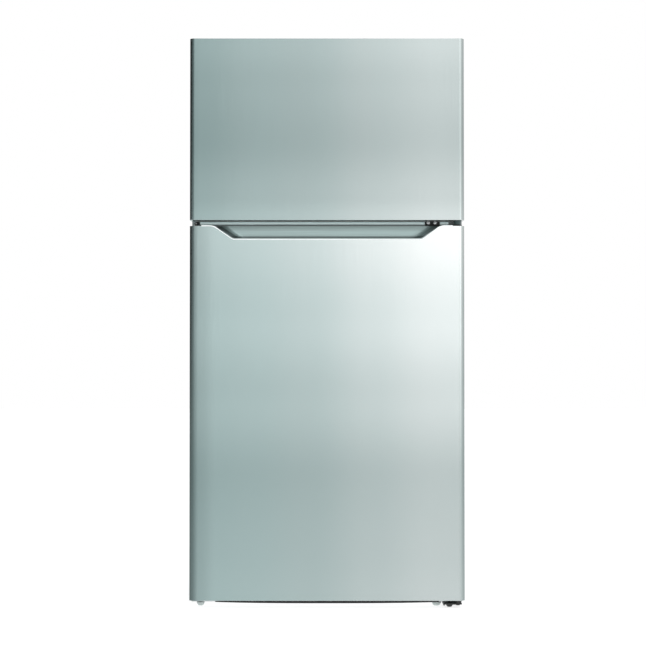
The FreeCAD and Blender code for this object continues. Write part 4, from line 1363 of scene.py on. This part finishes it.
@dataclass
class GripScoop:
    """The drafted scoop behind the notch in the lower door's top edge, and the bead round the notch."""

    shop: Shop
    front: float = -366.5
    back: float = -335.0
    top: float = 989.4
    floor: float = 959.6
    draw_in: Pair = (20.0, 14.0)
    sink: float = 1.5
    rise: float = 2.4
    upper: Pair = (-291.5, 291.5)
    lower: Pair = (-242.0, 244.0)
    round_at: float = 9.0
    wall: float = 1.2
    bead: tuple[Pair, ...] = (
        (-326.0, 990.2), (-295.0, 990.2), (-244.6, 954.9), (246.6, 954.9), (295.0, 990.2), (326.0, 990.2),
    )
    bead_round: tuple[float, ...] = (9.0, 5.0, 5.0, 9.0)
    bead_y: float = -366.6
    bead_radius: float = 1.7

    def build(self) -> None:
        """Builds the scoop and its bead."""
        self.scoop()
        self.lip()

    def scoop(self) -> None:
        """Moulds the scoop's slanted ends and back, open below over the cap's deeper finger well."""
        bm = bmesh.new()
        front = self.across(bm, self.front, (0.0, 0.0), 0.0, 0.0)
        rear = self.across(bm, self.back, self.draw_in, self.sink, self.rise)
        bmesh.ops.bridge_loops(bm, edges=front + rear)
        back = bmesh.ops.contextual_create(bm, geom=[v for v in bm.verts if near(v.co.y, self.back)])["faces"]
        floor = [f for f in bm.faces if f not in back and abs(f.calc_center_median().x) < self.draw_in[0]]
        bmesh.ops.delete(bm, geom=floor, context="FACES_ONLY")
        bm.normal_update()
        round_edges(
            bm,
            lambda at, way: near(at.y, self.back) and abs(way.x) < 0.95 and abs(way.z) > 0.3,
            self.round_at,
            5,
        )
        bmesh.ops.recalc_face_normals(bm, faces=bm.faces)
        if sum(f.normal.y * f.calc_area() for f in bm.faces) > 0:
            bmesh.ops.reverse_faces(bm, faces=bm.faces)
        bmesh.ops.solidify(bm, geom=list(bm.faces), thickness=self.wall)
        self.shop.finish("grip_scoop", bm, Finish.POCKET, "fridge_door", face_out=False)

    def across(self, bm: BMesh, y: float, draw_in: Pair, sink: float, rise: float) -> list[BMEdge]:
        """Lays the scoop's outline across at one depth.

        Args:
            bm: the mesh it goes in.
            y: the depth.
            draw_in: how far it is drawn in at the left and at the right.
            sink: how far its lower edge lies below the front's.
            rise: how far its ends stand above the front's.

        Returns:
            The outline's edges.
        """
        left, right = draw_in
        places = (
            (self.upper[0] + left, self.top + rise), (self.lower[0] + left, self.floor - sink),
            (self.lower[1] - right, self.floor - sink), (self.upper[1] - right, self.top + rise),
        )
        verts = [bm.verts.new((x, y, z)) for x, z in places]
        return [bm.edges.new(pair) for pair in zip(verts, verts[1:])]

    def bead_path(self) -> list[Vector]:
        """Lays the bead's middle line, rounded at its corners.

        Returns:
            Its points from left to right.
        """
        path = bmesh.new()
        verts = [path.verts.new((x, self.bead_y, z)) for x, z in self.bead]
        for pair in zip(verts, verts[1:]):
            path.edges.new(pair)
        for vert, radius in zip(verts[1:-1], self.bead_round):
            bevel(path, [vert], radius, 8, "VERTICES")
        points = sorted((v.co.copy() for v in path.verts), key=lambda at: at.x)
        path.free()
        return points

    def lip(self) -> None:
        """Runs the pale, faintly glowing bead round the notch's front edge: a painted highlight."""
        points = self.bead_path()
        bm = bmesh.new()
        loops = []
        for before, point, after in zip([points[0], *points], points, [*points[1:], points[-1]]):
            put = Matrix.Translation(point) @ pointing((after - before).normalized()).to_4x4()
            ring = bmesh.ops.create_circle(
                bm, cap_ends=False, radius=self.bead_radius, segments=14, matrix=put
            )["verts"]
            loops.append([e for e in bm.edges if e.verts[0] in ring and e.verts[1] in ring])
        for a, b in zip(loops, loops[1:]):
            bmesh.ops.bridge_loops(bm, edges=a + b)
        bmesh.ops.holes_fill(bm, edges=loops[0] + loops[-1], sides=0)
        self.shop.finish("grip_lip", bm, Finish.LIP_HIGHLIGHT, "fridge_door", crease=60.0)


@dataclass
class DoorBins:
    """The clear bins on one door's lining."""

    shop: Shop
    door: str
    names: tuple[str, ...]
    rim_side: float = 8.0
    rim_down: float = 6.0
    corner: float = 16.0
    draft: float = 5.0
    wall: float = 2.2
    dip_depth: float = 24.0
    dip_margins: Pair = (95.0, 55.0)
    rib_steps: Pair = (0.3, 0.38)
    rib_margin: float = 30.0
    rib_half: float = 1.2

    def build(self) -> None:
        """Builds the bins."""
        for name in self.names:
            node = f"{self.door}_bin_{name}"
            span = Span.of(node)
            low = span.low + Vector((self.rim_side, 0.4, 0.0))
            high = span.high - Vector((self.rim_side, 1.5, 0.0))
            half = (high.x - low.x) / 2
            inner, outer = (half - margin for margin in self.dip_margins)
            rim = (self.rim_side - 0.5, 1.2, self.rim_down)
            shape = TubShape(self.draft, self.corner, rim, self.wall, dip=(self.dip_depth, inner, outer))
            bm = shape.make(low, high)
            self.ribs(bm, low, high)
            self.shop.finish(f"{node}_tub", bm, Finish.CLEAR, self.shop.body[node], [node], crease=40.0)

    def ribs(self, bm: BMesh, low: Vector, high: Vector) -> None:
        """Adds a pair of stiffening beads on the bin's back face.

        Args:
            bm: the bin.
            low: the body's lowest corner.
            high: the body's highest corner.
        """
        left, right = low.x + self.rib_margin, high.x - self.rib_margin
        for step in self.rib_steps:
            z = low.z + (high.z - low.z) * step
            y = high.y - self.draft * (1.0 - step) - 0.6
            merge(bm, block((left, y, z - self.rib_half), (right, y + 1.4, z + self.rib_half), 0.5, 2))


@dataclass
class Crisper:
    """A clear vegetable drawer with a moulded front."""

    shop: Shop
    side: str
    front: float = 7.0
    shape: TubShape = TubShape(draft=4.0, corner=13.0, rim=(2.6, 1.2, 5.0), wall=2.4)
    grip_margin: float = 62.0
    grip_heights: Pair = (40.0, 14.0)
    grip_border: float = 3.0
    grip_depth: float = 4.0

    def build(self) -> None:
        """Builds the drawer."""
        node = f"crisper_{self.side}"
        span = Span.of(node)
        low = span.low + Vector((3.0, self.front - 1.0, 0.0))
        high = span.high - Vector((3.0, 4.0, 1.0))
        body = self.shop.body[node]
        self.shop.finish(f"{node}_tub", self.shape.make(low, high), Finish.CLEAR, body, [node], crease=40.0)
        plate = block(span.low, (span.high.x, span.low.y + self.front, span.high.z), 3.0, 4)
        self.sink_grip(plate, span)
        self.shop.finish(f"{node}_front", plate, Finish.CLEAR, body, crease=40.0)

    def sink_grip(self, bm: BMesh, span: Span) -> None:
        """Sinks a finger grip into the upper part of the front.

        Args:
            bm: the front plate.
            span: the drawer's box.
        """
        for x in (span.low.x + self.grip_margin, span.high.x - self.grip_margin):
            cut(bm, X, x)
        for below in self.grip_heights:
            cut(bm, Z, span.high.z - below)
        middle = Vector((span.centre.x, span.low.y, span.high.z - sum(self.grip_heights) / 2))
        grip = min(box_faces(bm, Y, -1.0), key=lambda f: (f.calc_center_median() - middle).length)
        bmesh.ops.inset_individual(bm, faces=[grip], thickness=self.grip_border, depth=0.0)
        bmesh.ops.translate(bm, vec=(0.0, self.grip_depth, 0.0), verts=list(grip.verts))


@dataclass
class Cabinet:
    """The steel cabinet: sides, top, back, mullion, a dark toe strip that stands partly for shade under the
    door, and the plug over the unused hinge hole.
    """

    shop: Shop
    plug: Triple = (-340.5, -304.0, 998.5)
    toe_low: float = 7.2
    toe_high: float = 20.0
    toe_half: float = 292.0
    toe_rise: float = 3.4
    bead: Pair = (998.4, 1004.6)
    bead_ends: Pair = (-333.0, 256.5)
    bead_far: Pair = (297.0, 319.0)
    bead_proud: float = 3.0
    side_screws: int = 8
    panel_margins: Triple = (9.0, 20.0, 12.0)
    top_screws: tuple[float, ...] = (-240.0, -80.0, 80.0, 240.0)
    cover_screws: tuple[float, ...] = (-330.0, -110.0, 110.0, 330.0)

    def shell(self) -> None:
        """Builds the sheets."""
        for node in ("side_panel_left", "side_panel_right", "top_panel"):
            self.shop.refine(node, Finish.CABINET, 0.7)
        self.shop.refine("front_mullion", Finish.CABINET, 0.3)
        self.shop.refine("rear_panel", Finish.GALVANISED, 0.5)
        self.shop.refine("base_pan", Finish.GALVANISED, 0.4)

    def mullion_bead(self) -> None:
        """Snaps the pale, glowing bead along the steel between the rooms: painted light in the shaded gap."""
        y = Span.of("front_mullion").low.y
        low, high = self.bead
        for name, (left, right) in (("mullion_bead", self.bead_ends), ("mullion_bead_end", self.bead_far)):
            bm = block((left, y - self.bead_proud, low), (right, y + 0.1, high), 1.2, 3)
            self.shop.finish(name, bm, Finish.MULLION_GLOW, "cabinet")

    def hole_plug(self) -> None:
        """Puts the plug with its bright pin beside the left end of the mullion."""
        bm = bmesh.new()
        profile = [
            (0.0, 0.0), (7.0, 0.0), (7.0, 3.0), (5.6, 5.0), (5.2, 14.0), (4.4, 15.5), (2.2, 16.0),
            (0.0, 16.0),
        ]
        lathe(bm, profile, self.plug, FORWARD, 24)
        self.shop.finish("hinge_hole_plug", bm, Finish.BLACK, "cabinet", soften=0.3)
        bm = bmesh.new()
        tip = Vector(self.plug) - Vector((1.6, 15.8, -1.2))
        lathe(bm, [(0.0, 0.0), (1.8, 0.0), (1.6, 1.0), (0.8, 1.5), (0.0, 1.6)], tip, FORWARD, 16)
        self.shop.finish("hinge_hole_plug_pin", bm, Finish.ZINC, "cabinet")

    def toe_shade_strip(self) -> None:
        """Hangs the black strip below the base's front edge, deepest in the middle: partly the base's front,
        partly painted shade under the door.
        """
        front = Span.of("base_pan").low.y
        half = self.toe_half
        bm = bmesh.new()
        slab(bm, (-half, front - 2.2, self.toe_low), (half, front - 0.2, self.toe_high))
        steps = 24
        for step in range(1, steps):
            cut(bm, X, -half + 2 * half * step / steps)
        for vert in bm.verts:
            if near(vert.co.z, self.toe_low):
                vert.co.z += self.toe_rise * (abs(vert.co.x) / half) ** 3
        self.shop.finish("toe_shade_strip", bm, Finish.RUBBER, "cabinet", soften=0.4)

    def back_screws(self) -> None:
        """Drives the screws round the back panel and the machine room's cover."""
        panel = Span.of("rear_panel")
        aside, ends, below = self.panel_margins
        y = panel.high.y - 1.0
        rise = (panel.size.z - 2 * ends) / (self.side_screws - 1)
        places = [
            (side * (panel.high.x - aside), y, panel.low.z + ends + i * rise)
            for side in (-1, 1) for i in range(self.side_screws)
        ]
        places += [(x, y, panel.high.z - below) for x in self.top_screws]
        screw = HexScrew(self.shop)
        screw.row("back_panel_screws", places, BACKWARD)
        cover = Span.of("machine_room_cover").high
        foot = Span.of("machine_room_cover").low.z
        places = [(x, cover.y, cover.z - 9.0) for x in self.cover_screws]
        places += [(x, cover.y, foot + 12.0) for x in (self.cover_screws[0], self.cover_screws[-1])]
        screw.row("machine_cover_screws", places, BACKWARD)

    def build(self) -> None:
        """Builds the cabinet."""
        self.shell()
        self.mullion_bead()
        self.hole_plug()
        self.toe_shade_strip()
        self.back_screws()


@dataclass
class Hinges:
    """The three hinges, their screws and the cover over the top one."""

    shop: Shop

    def build(self) -> None:
        """Builds the hinges."""
        self.shop.refine("middle_hinge", Finish.BRACKET, 0.5)
        self.shop.refine("lower_hinge", Finish.BRACKET, 0.5)
        self.shop.refine("top_hinge", Finish.ZINC, 0.4)
        self.shop.refine("hinge_screws", Finish.ZINC, 0.2)
        self.shop.refine("top_hinge_cover", Finish.CAP, 0.8)


@dataclass
class Feet:
    """The levelling feet and the rear rollers."""

    shop: Shop
    ridge: float = 1.5
    ridge_depth: float = 0.55
    stem_from: float = 12.4
    nut_middle: float = 10.6
    nut_height: float = 3.6
    nut_share: float = 0.62

    def levelling(self, node: str, finish: Finish, stem: float, pad: float) -> None:
        """Turns one foot: domed pad, hexagon and a ridged stem.

        Args:
            node: the frame's node that it stands for.
            finish: what it is made of.
            stem: the stem's radius.
            pad: the pad's radius.
        """
        span = Span.of(node)
        centre = (span.centre.x, span.centre.y, 0.0)
        bm = bmesh.new()
        profile = [
            (0.0, 0.0), (pad - 5.5, 0.0), (pad - 4.2, 0.6), (pad - 2.6, 2.6), (pad - 0.6, 6.0), (pad, 7.4),
            (pad, 9.0), (pad - 0.8, 9.8), (stem, 9.8), (stem, self.stem_from),
        ]
        z = self.stem_from
        while z < span.high.z - self.ridge:
            profile += [(stem - self.ridge_depth, z + self.ridge / 2), (stem, z + self.ridge)]
            z += self.ridge
        profile += [(stem - 0.8, span.high.z), (0.0, span.high.z)]
        lathe(bm, profile, centre, steps=28)
        nut = bmesh.new()
        radius = pad * self.nut_share
        bmesh.ops.create_cone(
            nut, cap_ends=True, segments=6, radius1=radius, radius2=radius, depth=self.nut_height,
            matrix=Matrix.Translation((centre[0], centre[1], self.nut_middle)),
        )
        round_edges(nut, everywhere, 0.4, 2)
        merge(bm, nut)
        self.shop.finish(f"{node}_turned", bm, finish, self.shop.body[node], [node], crease=40.0)

    def build(self) -> None:
        """Builds the feet."""
        self.levelling("levelling_foot_left", Finish.FOOT, 5.0, 10.5)
        self.levelling("levelling_foot_right", Finish.FOOT, 5.0, 12.0)
        self.levelling("hinge_foot", Finish.BLACK, 4.0, 10.0)
        for side in ("left", "right"):
            self.shop.refine(f"rear_roller_{side}", Finish.BLACK, 0.4)


@dataclass
class FridgeRoom:
    """The fresh food room: lining, glass shelves, drawers, control housing, lamp and duct."""

    shop: Shop
    tick_from: float = 26.0
    tick_to: float = 30.0
    tick_longer: float = 3.0
    ticks: int = 9
    tick_sweep: float = 240.0
    lens_ribs: int = 11
    lens_margin: float = 14.0
    slide_ridges: tuple[float, ...] = (-4.0, -2.0, 0.0, 2.0, 4.0)

    def shelves(self) -> None:
        """Builds the shelves with polished glass and moulded trims."""
        self.shop.refine("shelf_glass", Finish.GLASS, 0.7)
        self.shop.refine("shelf_frames", Finish.WHITE, 1.2)

    def control(self) -> None:
        """Builds the control housing with its dial, slide and switch."""
        self.shop.refine("control_housing", Finish.WHITE, 0.8)
        self.shop.refine("door_switch_plunger", Finish.WHITE, 0.8)
        self.dial()
        self.slide()

    def dial(self) -> None:
        """Turns the temperature dial and prints its ticks."""
        node = "temperature_knob"
        span = Span.of(node)
        x, y = span.centre.x, span.centre.y
        face = span.low.z + 10.0
        bm = bmesh.new()
        profile = [
            (0.0, -1.0), (13.0, -1.0), (16.5, 0.2), (19.2, 1.2), (20.0, 2.6), (20.0, 9.2), (18.0, 9.5),
            (4.0, 9.5), (4.0, 20.0), (0.0, 20.0),
        ]
        lathe(bm, profile, (x, y, face), steps=56)
        grip = block((x - 5.0, y - 17.5, span.low.z), (x + 5.0, y + 17.5, face + 1.0), 3.2, 4, upright)
        round_edges(grip, lambda at, way: near(at.z, span.low.z), 1.6, 3)
        merge(bm, grip)
        self.shop.finish("temperature_dial", bm, Finish.WHITE, self.shop.body[node], [node], crease=40.0)
        marker = block((x - 0.8, y - 17.0, span.low.z - 0.3), (x + 0.8, y - 6.0, span.low.z + 0.4), 0.25, 1)
        self.shop.finish("temperature_dial_mark", marker, Finish.BLACK, self.shop.body[node])
        self.tick_marks(x, y)

    def tick_marks(self, x: float, y: float) -> None:
        """Prints the ticks round the dial, every fourth one longer.

        Args:
            x: where the dial's axis is, from left to right.
            y: where it is, from front to back.
        """
        under = Span.of("control_housing").low.z
        bars = bmesh.new()
        for i in range(self.ticks):
            angle = math.radians(self.tick_sweep * (i / (self.ticks - 1) - 0.5))
            far = self.tick_to + (self.tick_longer if i % 4 == 0 else 0.0)
            bar = block((-0.5, -far, under - 0.35), (0.5, -self.tick_from, under + 0.2), 0.15, 1)
            turn = Matrix.Rotation(angle, 3, "Z")
            bmesh.ops.rotate(bar, cent=(0.0, 0.0, 0.0), matrix=turn, verts=bar.verts)
            bmesh.ops.translate(bar, vec=(x, y, 0.0), verts=bar.verts)
            merge(bars, bar)
        self.shop.finish("temperature_ticks", bars, Finish.BLACK, "cabinet")

    def slide(self) -> None:
        """Builds the airflow slide with finger ridges."""
        node = "airflow_slider"
        span = Span.of(node)
        x, y = span.centre.x, span.centre.y
        bm = block(span.low, (span.high.x, span.high.y, span.low.z + 6.5), 1.8, 3)
        slab(bm, (x - 4.0, y - 2.4, span.low.z + 5.0), (x + 4.0, y + 2.4, span.high.z))
        for ridge in self.slide_ridges:
            low = (x + ridge - 0.5, span.low.y + 2.5, span.low.z - 0.7)
            high = (x + ridge + 0.5, span.high.y - 2.5, span.low.z + 0.6)
            merge(bm, block(low, high, 0.3, 2))
        self.shop.finish("airflow_slide", bm, Finish.CAP, self.shop.body[node], [node], crease=40.0)

    def lamp(self) -> None:
        """Builds the ribbed lens and the small lamp behind it."""
        node = "light_lens"
        span = Span.of(node)
        bm = block(span.low, span.high, 8.0, 5, upright)
        bmesh.ops.delete(bm, geom=box_faces(bm, Z, 1.0), context="FACES_ONLY")
        round_edges(bm, lambda at, way: near(at.z, span.low.z) and abs(way.z) < 0.2, 5.0, 4)
        thicken(bm, 2.0)
        front, back = span.low.y + 8.0, span.high.y - 8.0
        pitch = (span.size.x - 2 * self.lens_margin) / (self.lens_ribs - 1)
        for i in range(self.lens_ribs):
            x = span.low.x + self.lens_margin + i * pitch
            merge(bm, block((x - 1.0, front, span.low.z - 0.6), (x + 1.0, back, span.low.z + 0.5), 0.4, 2))
        self.shop.finish("lamp_lens", bm, Finish.LENS, "cabinet", [node], crease=40.0)
        glow = bmesh.new()
        profile = [
            (0.0, 0.0), (7.0, 0.0), (7.0, 10.0), (9.0, 16.0), (10.5, 24.0), (9.5, 31.0), (6.0, 35.5),
            (0.0, 37.0),
        ]
        lathe(glow, profile, (span.low.x + 34.0, span.centre.y, span.high.z + 8.0), RIGHT, 28)
        self.shop.finish("lamp_bulb", glow, Finish.LENS, "cabinet", crease=40.0)

    def build(self) -> None:
        """Builds the room."""
        self.shop.refine("fridge_liner", Finish.LINER, 1.0)
        self.shelves()
        self.control()
        self.lamp()
        self.shop.refine("air_duct", Finish.WHITE, 0.8)
        for side in ("left", "right"):
            Crisper(self.shop, side).build()


@dataclass
class FreezerRoom:
    """The frozen food room: lining, wire shelf, evaporator, its cover and the fan."""

    shop: Shop
    blades: int = 5
    blade_from: float = 9.0
    blade_to: float = 43.0
    pitch: float = 46.0
    twist: float = 20.0
    bow: float = 1.6
    blade_wall: float = 1.1

    def blade(self) -> BMesh:
        """Makes one twisted blade, which points to the right of the wheel's middle.

        Returns:
            The mesh.
        """
        bm = bmesh.new()
        bmesh.ops.create_grid(bm, x_segments=8, y_segments=4, size=1.0)
        for vert in bm.verts:
            share = (vert.co.x + 1.0) / 2.0
            radius = self.blade_from + (self.blade_to - self.blade_from) * share
            chord = 7.0 + 6.0 * math.sin(math.pi * min(1.0, share * 0.62 + 0.1)) - 5.0 * share ** 6
            across = vert.co.y * chord
            lean = math.radians(self.pitch - self.twist * share)
            bow = self.bow * (1.0 - vert.co.y ** 2)
            depth = across * math.sin(lean) + bow * math.cos(lean)
            vert.co = Vector((radius, depth, across * math.cos(lean)))
        bmesh.ops.solidify(bm, geom=list(bm.faces), thickness=self.blade_wall)
        return bm

    def fan(self) -> None:
        """Builds the fan with its twisted blades and its hub."""
        node = "fan_blade"
        centre = Span.of(node).centre
        bm = bmesh.new()
        for i in range(self.blades):
            blade = self.blade()
            turn = Matrix.Rotation(math.tau * i / self.blades, 3, "Y")
            bmesh.ops.rotate(blade, cent=(0.0, 0.0, 0.0), matrix=turn, verts=blade.verts)
            bmesh.ops.translate(blade, vec=centre, verts=blade.verts)
            merge(bm, blade)
        hub = [(3.1, 0.0), (10.0, 0.0), (12.0, 2.2), (12.0, 12.5), (10.5, 13.8), (3.1, 14.0), (3.1, 0.0)]
        lathe(bm, hub, (centre.x, centre.y - 7.0, centre.z), BACKWARD, 32)
        self.shop.finish("fan_wheel", bm, Finish.WHITE, self.shop.body[node], [node], crease=40.0)

    def build(self) -> None:
        """Builds the room."""
        self.shop.refine("freezer_liner", Finish.LINER, 1.0)
        self.shop.refine("evaporator_cover", Finish.WHITE, 0.5)
        self.shop.refine("freezer_shelf", Finish.WIRE, 0.0)
        self.shop.refine("evaporator", Finish.ALUMINIUM, 0.0)
        self.shop.refine("defrost_heater", Finish.ALUMINIUM, 0.3)
        self.shop.refine("fan_motor", Finish.BLACK, 0.5)
        self.fan()


@dataclass
class MachineRoom:
    """The compressor and what stands round it."""

    shop: Shop
    shell: float = 86.0
    shell_bend: float = 26.0
    dome: float = 83.0
    dome_bend: float = 46.0
    seam: float = 89.0
    seam_height: float = 76.5
    seam_thick: float = 4.0
    bracket_half: Pair = (78.0, 80.0)
    stub_at: Triple = (40.0, 60.0, 50.0)
    tray: TubShape = TubShape(draft=4.0, corner=15.0, rim=(3.8, 2.6, 4.0), wall=2.2)

    def profile(self) -> list[Pair]:
        """Draws the compressor's two welded shells from their foot to the dome's middle.

        Returns:
            Radii and heights.
        """
        bend, curve = self.shell_bend, self.dome_bend
        turns = [math.radians(12.0 * i) for i in range(1, 8)]
        lower = [(self.shell + bend * (math.sin(a) - 1.0), 34.0 - bend * math.cos(a)) for a in turns]
        turns = [math.radians(11.25 * i) for i in range(0, 9)]
        upper = [(self.dome + curve * (math.cos(a) - 1.0), 98.0 + curve * math.sin(a)) for a in turns]
        seam_top = self.seam_height + self.seam_thick
        return [
            (0.0, 0.5), (48.0, 0.5), (50.0, 8.0), *lower, (self.shell, 40.0),
            (self.shell, self.seam_height - 1.0), (self.seam, self.seam_height), (self.seam, seam_top),
            (self.dome, seam_top + 1.0), *upper, (24.0, 144.6), (0.0, 145.0),
        ]

    def compressor(self) -> None:
        """Turns the compressor's shells and sets them on their bracket, with two stubs and a crown ring."""
        node = "compressor"
        span = Span.of(node)
        x, y, low = span.centre.x, Span.of("compressor_grommets").centre.y, span.low.z
        bm = bmesh.new()
        lathe(bm, self.profile(), (x, y, low), steps=72)
        half_x, half_y = self.bracket_half
        merge(bm, block((x - half_x, y - half_y, low), (x + half_x, y + half_y, low + 3.0), 12.0, 5, upright))
        stub = [(0.0, 0.0), (6.2, 0.0), (6.2, 18.0), (5.0, 19.0), (5.0, 26.0), (0.0, 26.0)]
        aside, ahead, above = self.stub_at
        for side in (-aside, aside):
            lathe(bm, stub, (x + side, y - ahead, low + above), FORWARD, 20)
        ring = [(16.0, 143.0), (18.0, 143.0), (18.0, 146.0), (16.0, 146.0), (16.0, 143.0)]
        lathe(bm, ring, (x, y, low), steps=40)
        self.shop.finish("compressor_shells", bm, Finish.COMPRESSOR, "cabinet", [node], crease=40.0)

    def drain_pan(self) -> None:
        """Moulds the drain pan."""
        node = "drain_pan"
        span = Span.of(node)
        bm = self.tray.make(span.low + Vector((4.0, 0.0, 0.0)), span.high - Vector((4.0, 3.0, 0.0)))
        self.shop.finish("drain_tray", bm, Finish.BLACK, "cabinet", [node], crease=40.0)

    def build(self) -> None:
        """Builds the machine room."""
        self.compressor()
        self.drain_pan()
        self.shop.refine("compressor_relay_box", Finish.BLACK, 1.0)
        self.shop.refine("compressor_grommets", Finish.RUBBER, 0.6)
        self.shop.refine("compressor_base_plate", Finish.GALVANISED, 0.4)
        self.shop.refine("machine_room_cover", Finish.GALVANISED, 0.3)
        self.shop.refine("refrigerant_tubes", Finish.COPPER, 0.0)
        self.shop.refine("cord_gland", Finish.BLACK, 0.6)


FOAMS = ("cabinet_foam", "fridge_door_foam", "freezer_door_foam")


@dataclass
class Studio:
    """The pale floor, the soft lights and the camera."""

    eye_height: float = 0.60
    eye_distance: float = 5.0
    lens: float = 107.6
    eye_x: float = -0.0104
    tilt: float = 1.581
    front: float = -0.368
    floor_half: float = 30.0
    floor_glow: float = 0.82
    room_light: tuple[Pair, ...] = (
        (-180.0, 0.6), (-155.0, 0.3), (-140.0, 0.03), (-80.0, 0.03), (-50.0, 0.15), (-25.0, 0.3),
        (-9.0, 0.36), (0.0, 0.89), (9.0, 1.78), (22.0, 1.65), (40.0, 1.1), (70.0, 0.8), (120.0, 0.75),
        (180.0, 0.6),
    )

    def floor(self) -> None:
        """Lays the floor."""
        bm = bmesh.new()
        bmesh.ops.create_grid(bm, x_segments=1, y_segments=1, size=self.floor_half)
        mesh = bpy.data.meshes.new("studio_floor")
        bm.to_mesh(mesh)
        bm.free()
        sheet = NodeSheet("studio_floor")
        sheet.feed("Base Color", sheet.tinted(sheet.noise(0.7, 2.0), ((0.3, 0.36), (0.7, 0.38))))
        sheet.shade(Roughness=0.6, Emission_Color=(1.0, 1.0, 1.0, 1.0), Emission_Strength=self.floor_glow)
        mesh.materials.append(sheet.material)
        plane = bpy.data.objects.new("studio_floor", mesh)
        bpy.context.scene.collection.objects.link(plane)

    def softbox(self, name: str, at: Triple, aim: Triple, size: Pair, power: float) -> None:
        """Hangs a rectangular soft light.

        Args:
            name: its name.
            at: its place in metres.
            aim: the point it looks at.
            size: width and height in metres.
            power: its power in watts.
        """
        lamp = bpy.data.lights.new(name, "AREA")
        lamp.shape = "RECTANGLE"
        lamp.size, lamp.size_y = size
        lamp.energy = power
        box = bpy.data.objects.new(name, lamp)
        box.location = at
        box.rotation_euler = (Vector(aim) - Vector(at)).to_track_quat("-Z", "Y").to_euler()
        box.visible_glossy = False
        bpy.context.scene.collection.objects.link(box)

    def surroundings(self) -> None:
        """Sets a pale room, dark on the left and bright on the right, that the camera sees as white."""
        world = bpy.data.worlds.new("studio")
        bpy.context.scene.world = world
        world.use_nodes = True
        tree = world.node_tree
        tree.nodes.clear()
        place = tree.nodes.new("ShaderNodeTexCoord")
        split = tree.nodes.new("ShaderNodeSeparateXYZ")
        depth = tree.nodes.new("ShaderNodeMath")
        depth.operation = "MULTIPLY"
        depth.inputs[1].default_value = -1.0
        round_about = tree.nodes.new("ShaderNodeMath")
        round_about.operation = "ARCTAN2"
        across = tree.nodes.new("ShaderNodeMapRange")
        across.inputs["From Min"].default_value = -math.pi
        across.inputs["From Max"].default_value = math.pi
        ramp = tree.nodes.new("ShaderNodeValToRGB")
        ramp.color_ramp.interpolation = "EASE"
        elements = ramp.color_ramp.elements
        while len(elements) < len(self.room_light):
            elements.new(0.5)
        for element, (at, level) in zip(elements, self.room_light):
            element.position = (at + 180.0) / 360.0
            element.color = (level * (0.93 if at < 0.0 else 1.0), level, level, 1.0)
        light = tree.nodes.new("ShaderNodeBackground")
        seen = tree.nodes.new("ShaderNodeBackground")
        seen.inputs["Strength"].default_value = 1.0
        seen.inputs["Color"].default_value = (1.0, 1.0, 1.0, 1.0)
        path = tree.nodes.new("ShaderNodeLightPath")
        mix = tree.nodes.new("ShaderNodeMixShader")
        output = tree.nodes.new("ShaderNodeOutputWorld")
        for source, target in (
            (place.outputs["Generated"], split.inputs["Vector"]),
            (split.outputs["Y"], depth.inputs[0]),
            (split.outputs["X"], round_about.inputs[0]),
            (depth.outputs["Value"], round_about.inputs[1]),
            (round_about.outputs["Value"], across.inputs["Value"]),
            (across.outputs["Result"], ramp.inputs["Fac"]),
            (ramp.outputs["Color"], light.inputs["Color"]),
            (path.outputs["Is Camera Ray"], mix.inputs["Fac"]),
            (light.outputs["Background"], mix.inputs[1]),
            (seen.outputs["Background"], mix.inputs[2]),
            (mix.outputs["Shader"], output.inputs["Surface"]),
        ):
            tree.links.new(source, target)

    def camera(self) -> None:
        """Stands the camera in front, a little below the middle, looking slightly up."""
        data = bpy.data.cameras.new("camera")
        data.lens = self.lens
        data.sensor_width = 36.0
        eye = bpy.data.objects.new("camera", data)
        eye.location = (self.eye_x, self.front - self.eye_distance, self.eye_height)
        eye.rotation_euler = (math.radians(90.0 + self.tilt), 0.0, 0.0)
        bpy.context.scene.collection.objects.link(eye)
        bpy.context.scene.camera = eye

    def build(self) -> None:
        """Sets up everything round the refrigerator."""
        bpy.context.scene.view_settings.view_transform = "Standard"
        self.floor()
        self.surroundings()
        self.softbox("overhead", (0.0, -1.2, 4.2), (0.0, 0.0, 0.6), (4.0, 3.0), 60.0)
        self.softbox("left_fill", (-4.0, -2.0, 2.4), (0.0, 0.0, 0.7), (2.5, 2.5), 60.0)
        self.camera()


def main() -> None:
    """Builds the refrigerator's looks in order."""
    logging.basicConfig(level=logging.INFO, format="%(name)s %(message)s")
    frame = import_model()
    shop = Shop(frame)
    Studio().build()
    DoorLeaf(
        shop, "fridge", Finish.STEEL_LOWER, Finish.CAP,
        notch=((295.5, 990.0), (247.5, 955.5), (-245.5, 955.5), (-295.5, 990.0)),
    ).build()
    DoorLeaf(shop, "freezer", Finish.STEEL_UPPER, Finish.BROW_SHADE, foot_hem=0.9).build()
    GripScoop(shop).build()
    DoorBins(shop, "fridge", ("lower", "middle", "upper")).build()
    DoorBins(shop, "freezer", ("lower", "upper")).build()
    Cabinet(shop).build()
    Hinges(shop).build()
    Feet(shop).build()
    FridgeRoom(shop).build()
    FreezerRoom(shop).build()
    MachineRoom(shop).build()
    for node in FOAMS:
        shop.dress(node, Finish.FOAM)
    missed = sorted(set(shop.nodes) - shop.done)
    if missed:
        raise RuntimeError(f"nodes with no finish: {missed}")


if __name__ == "__main__":
    main()
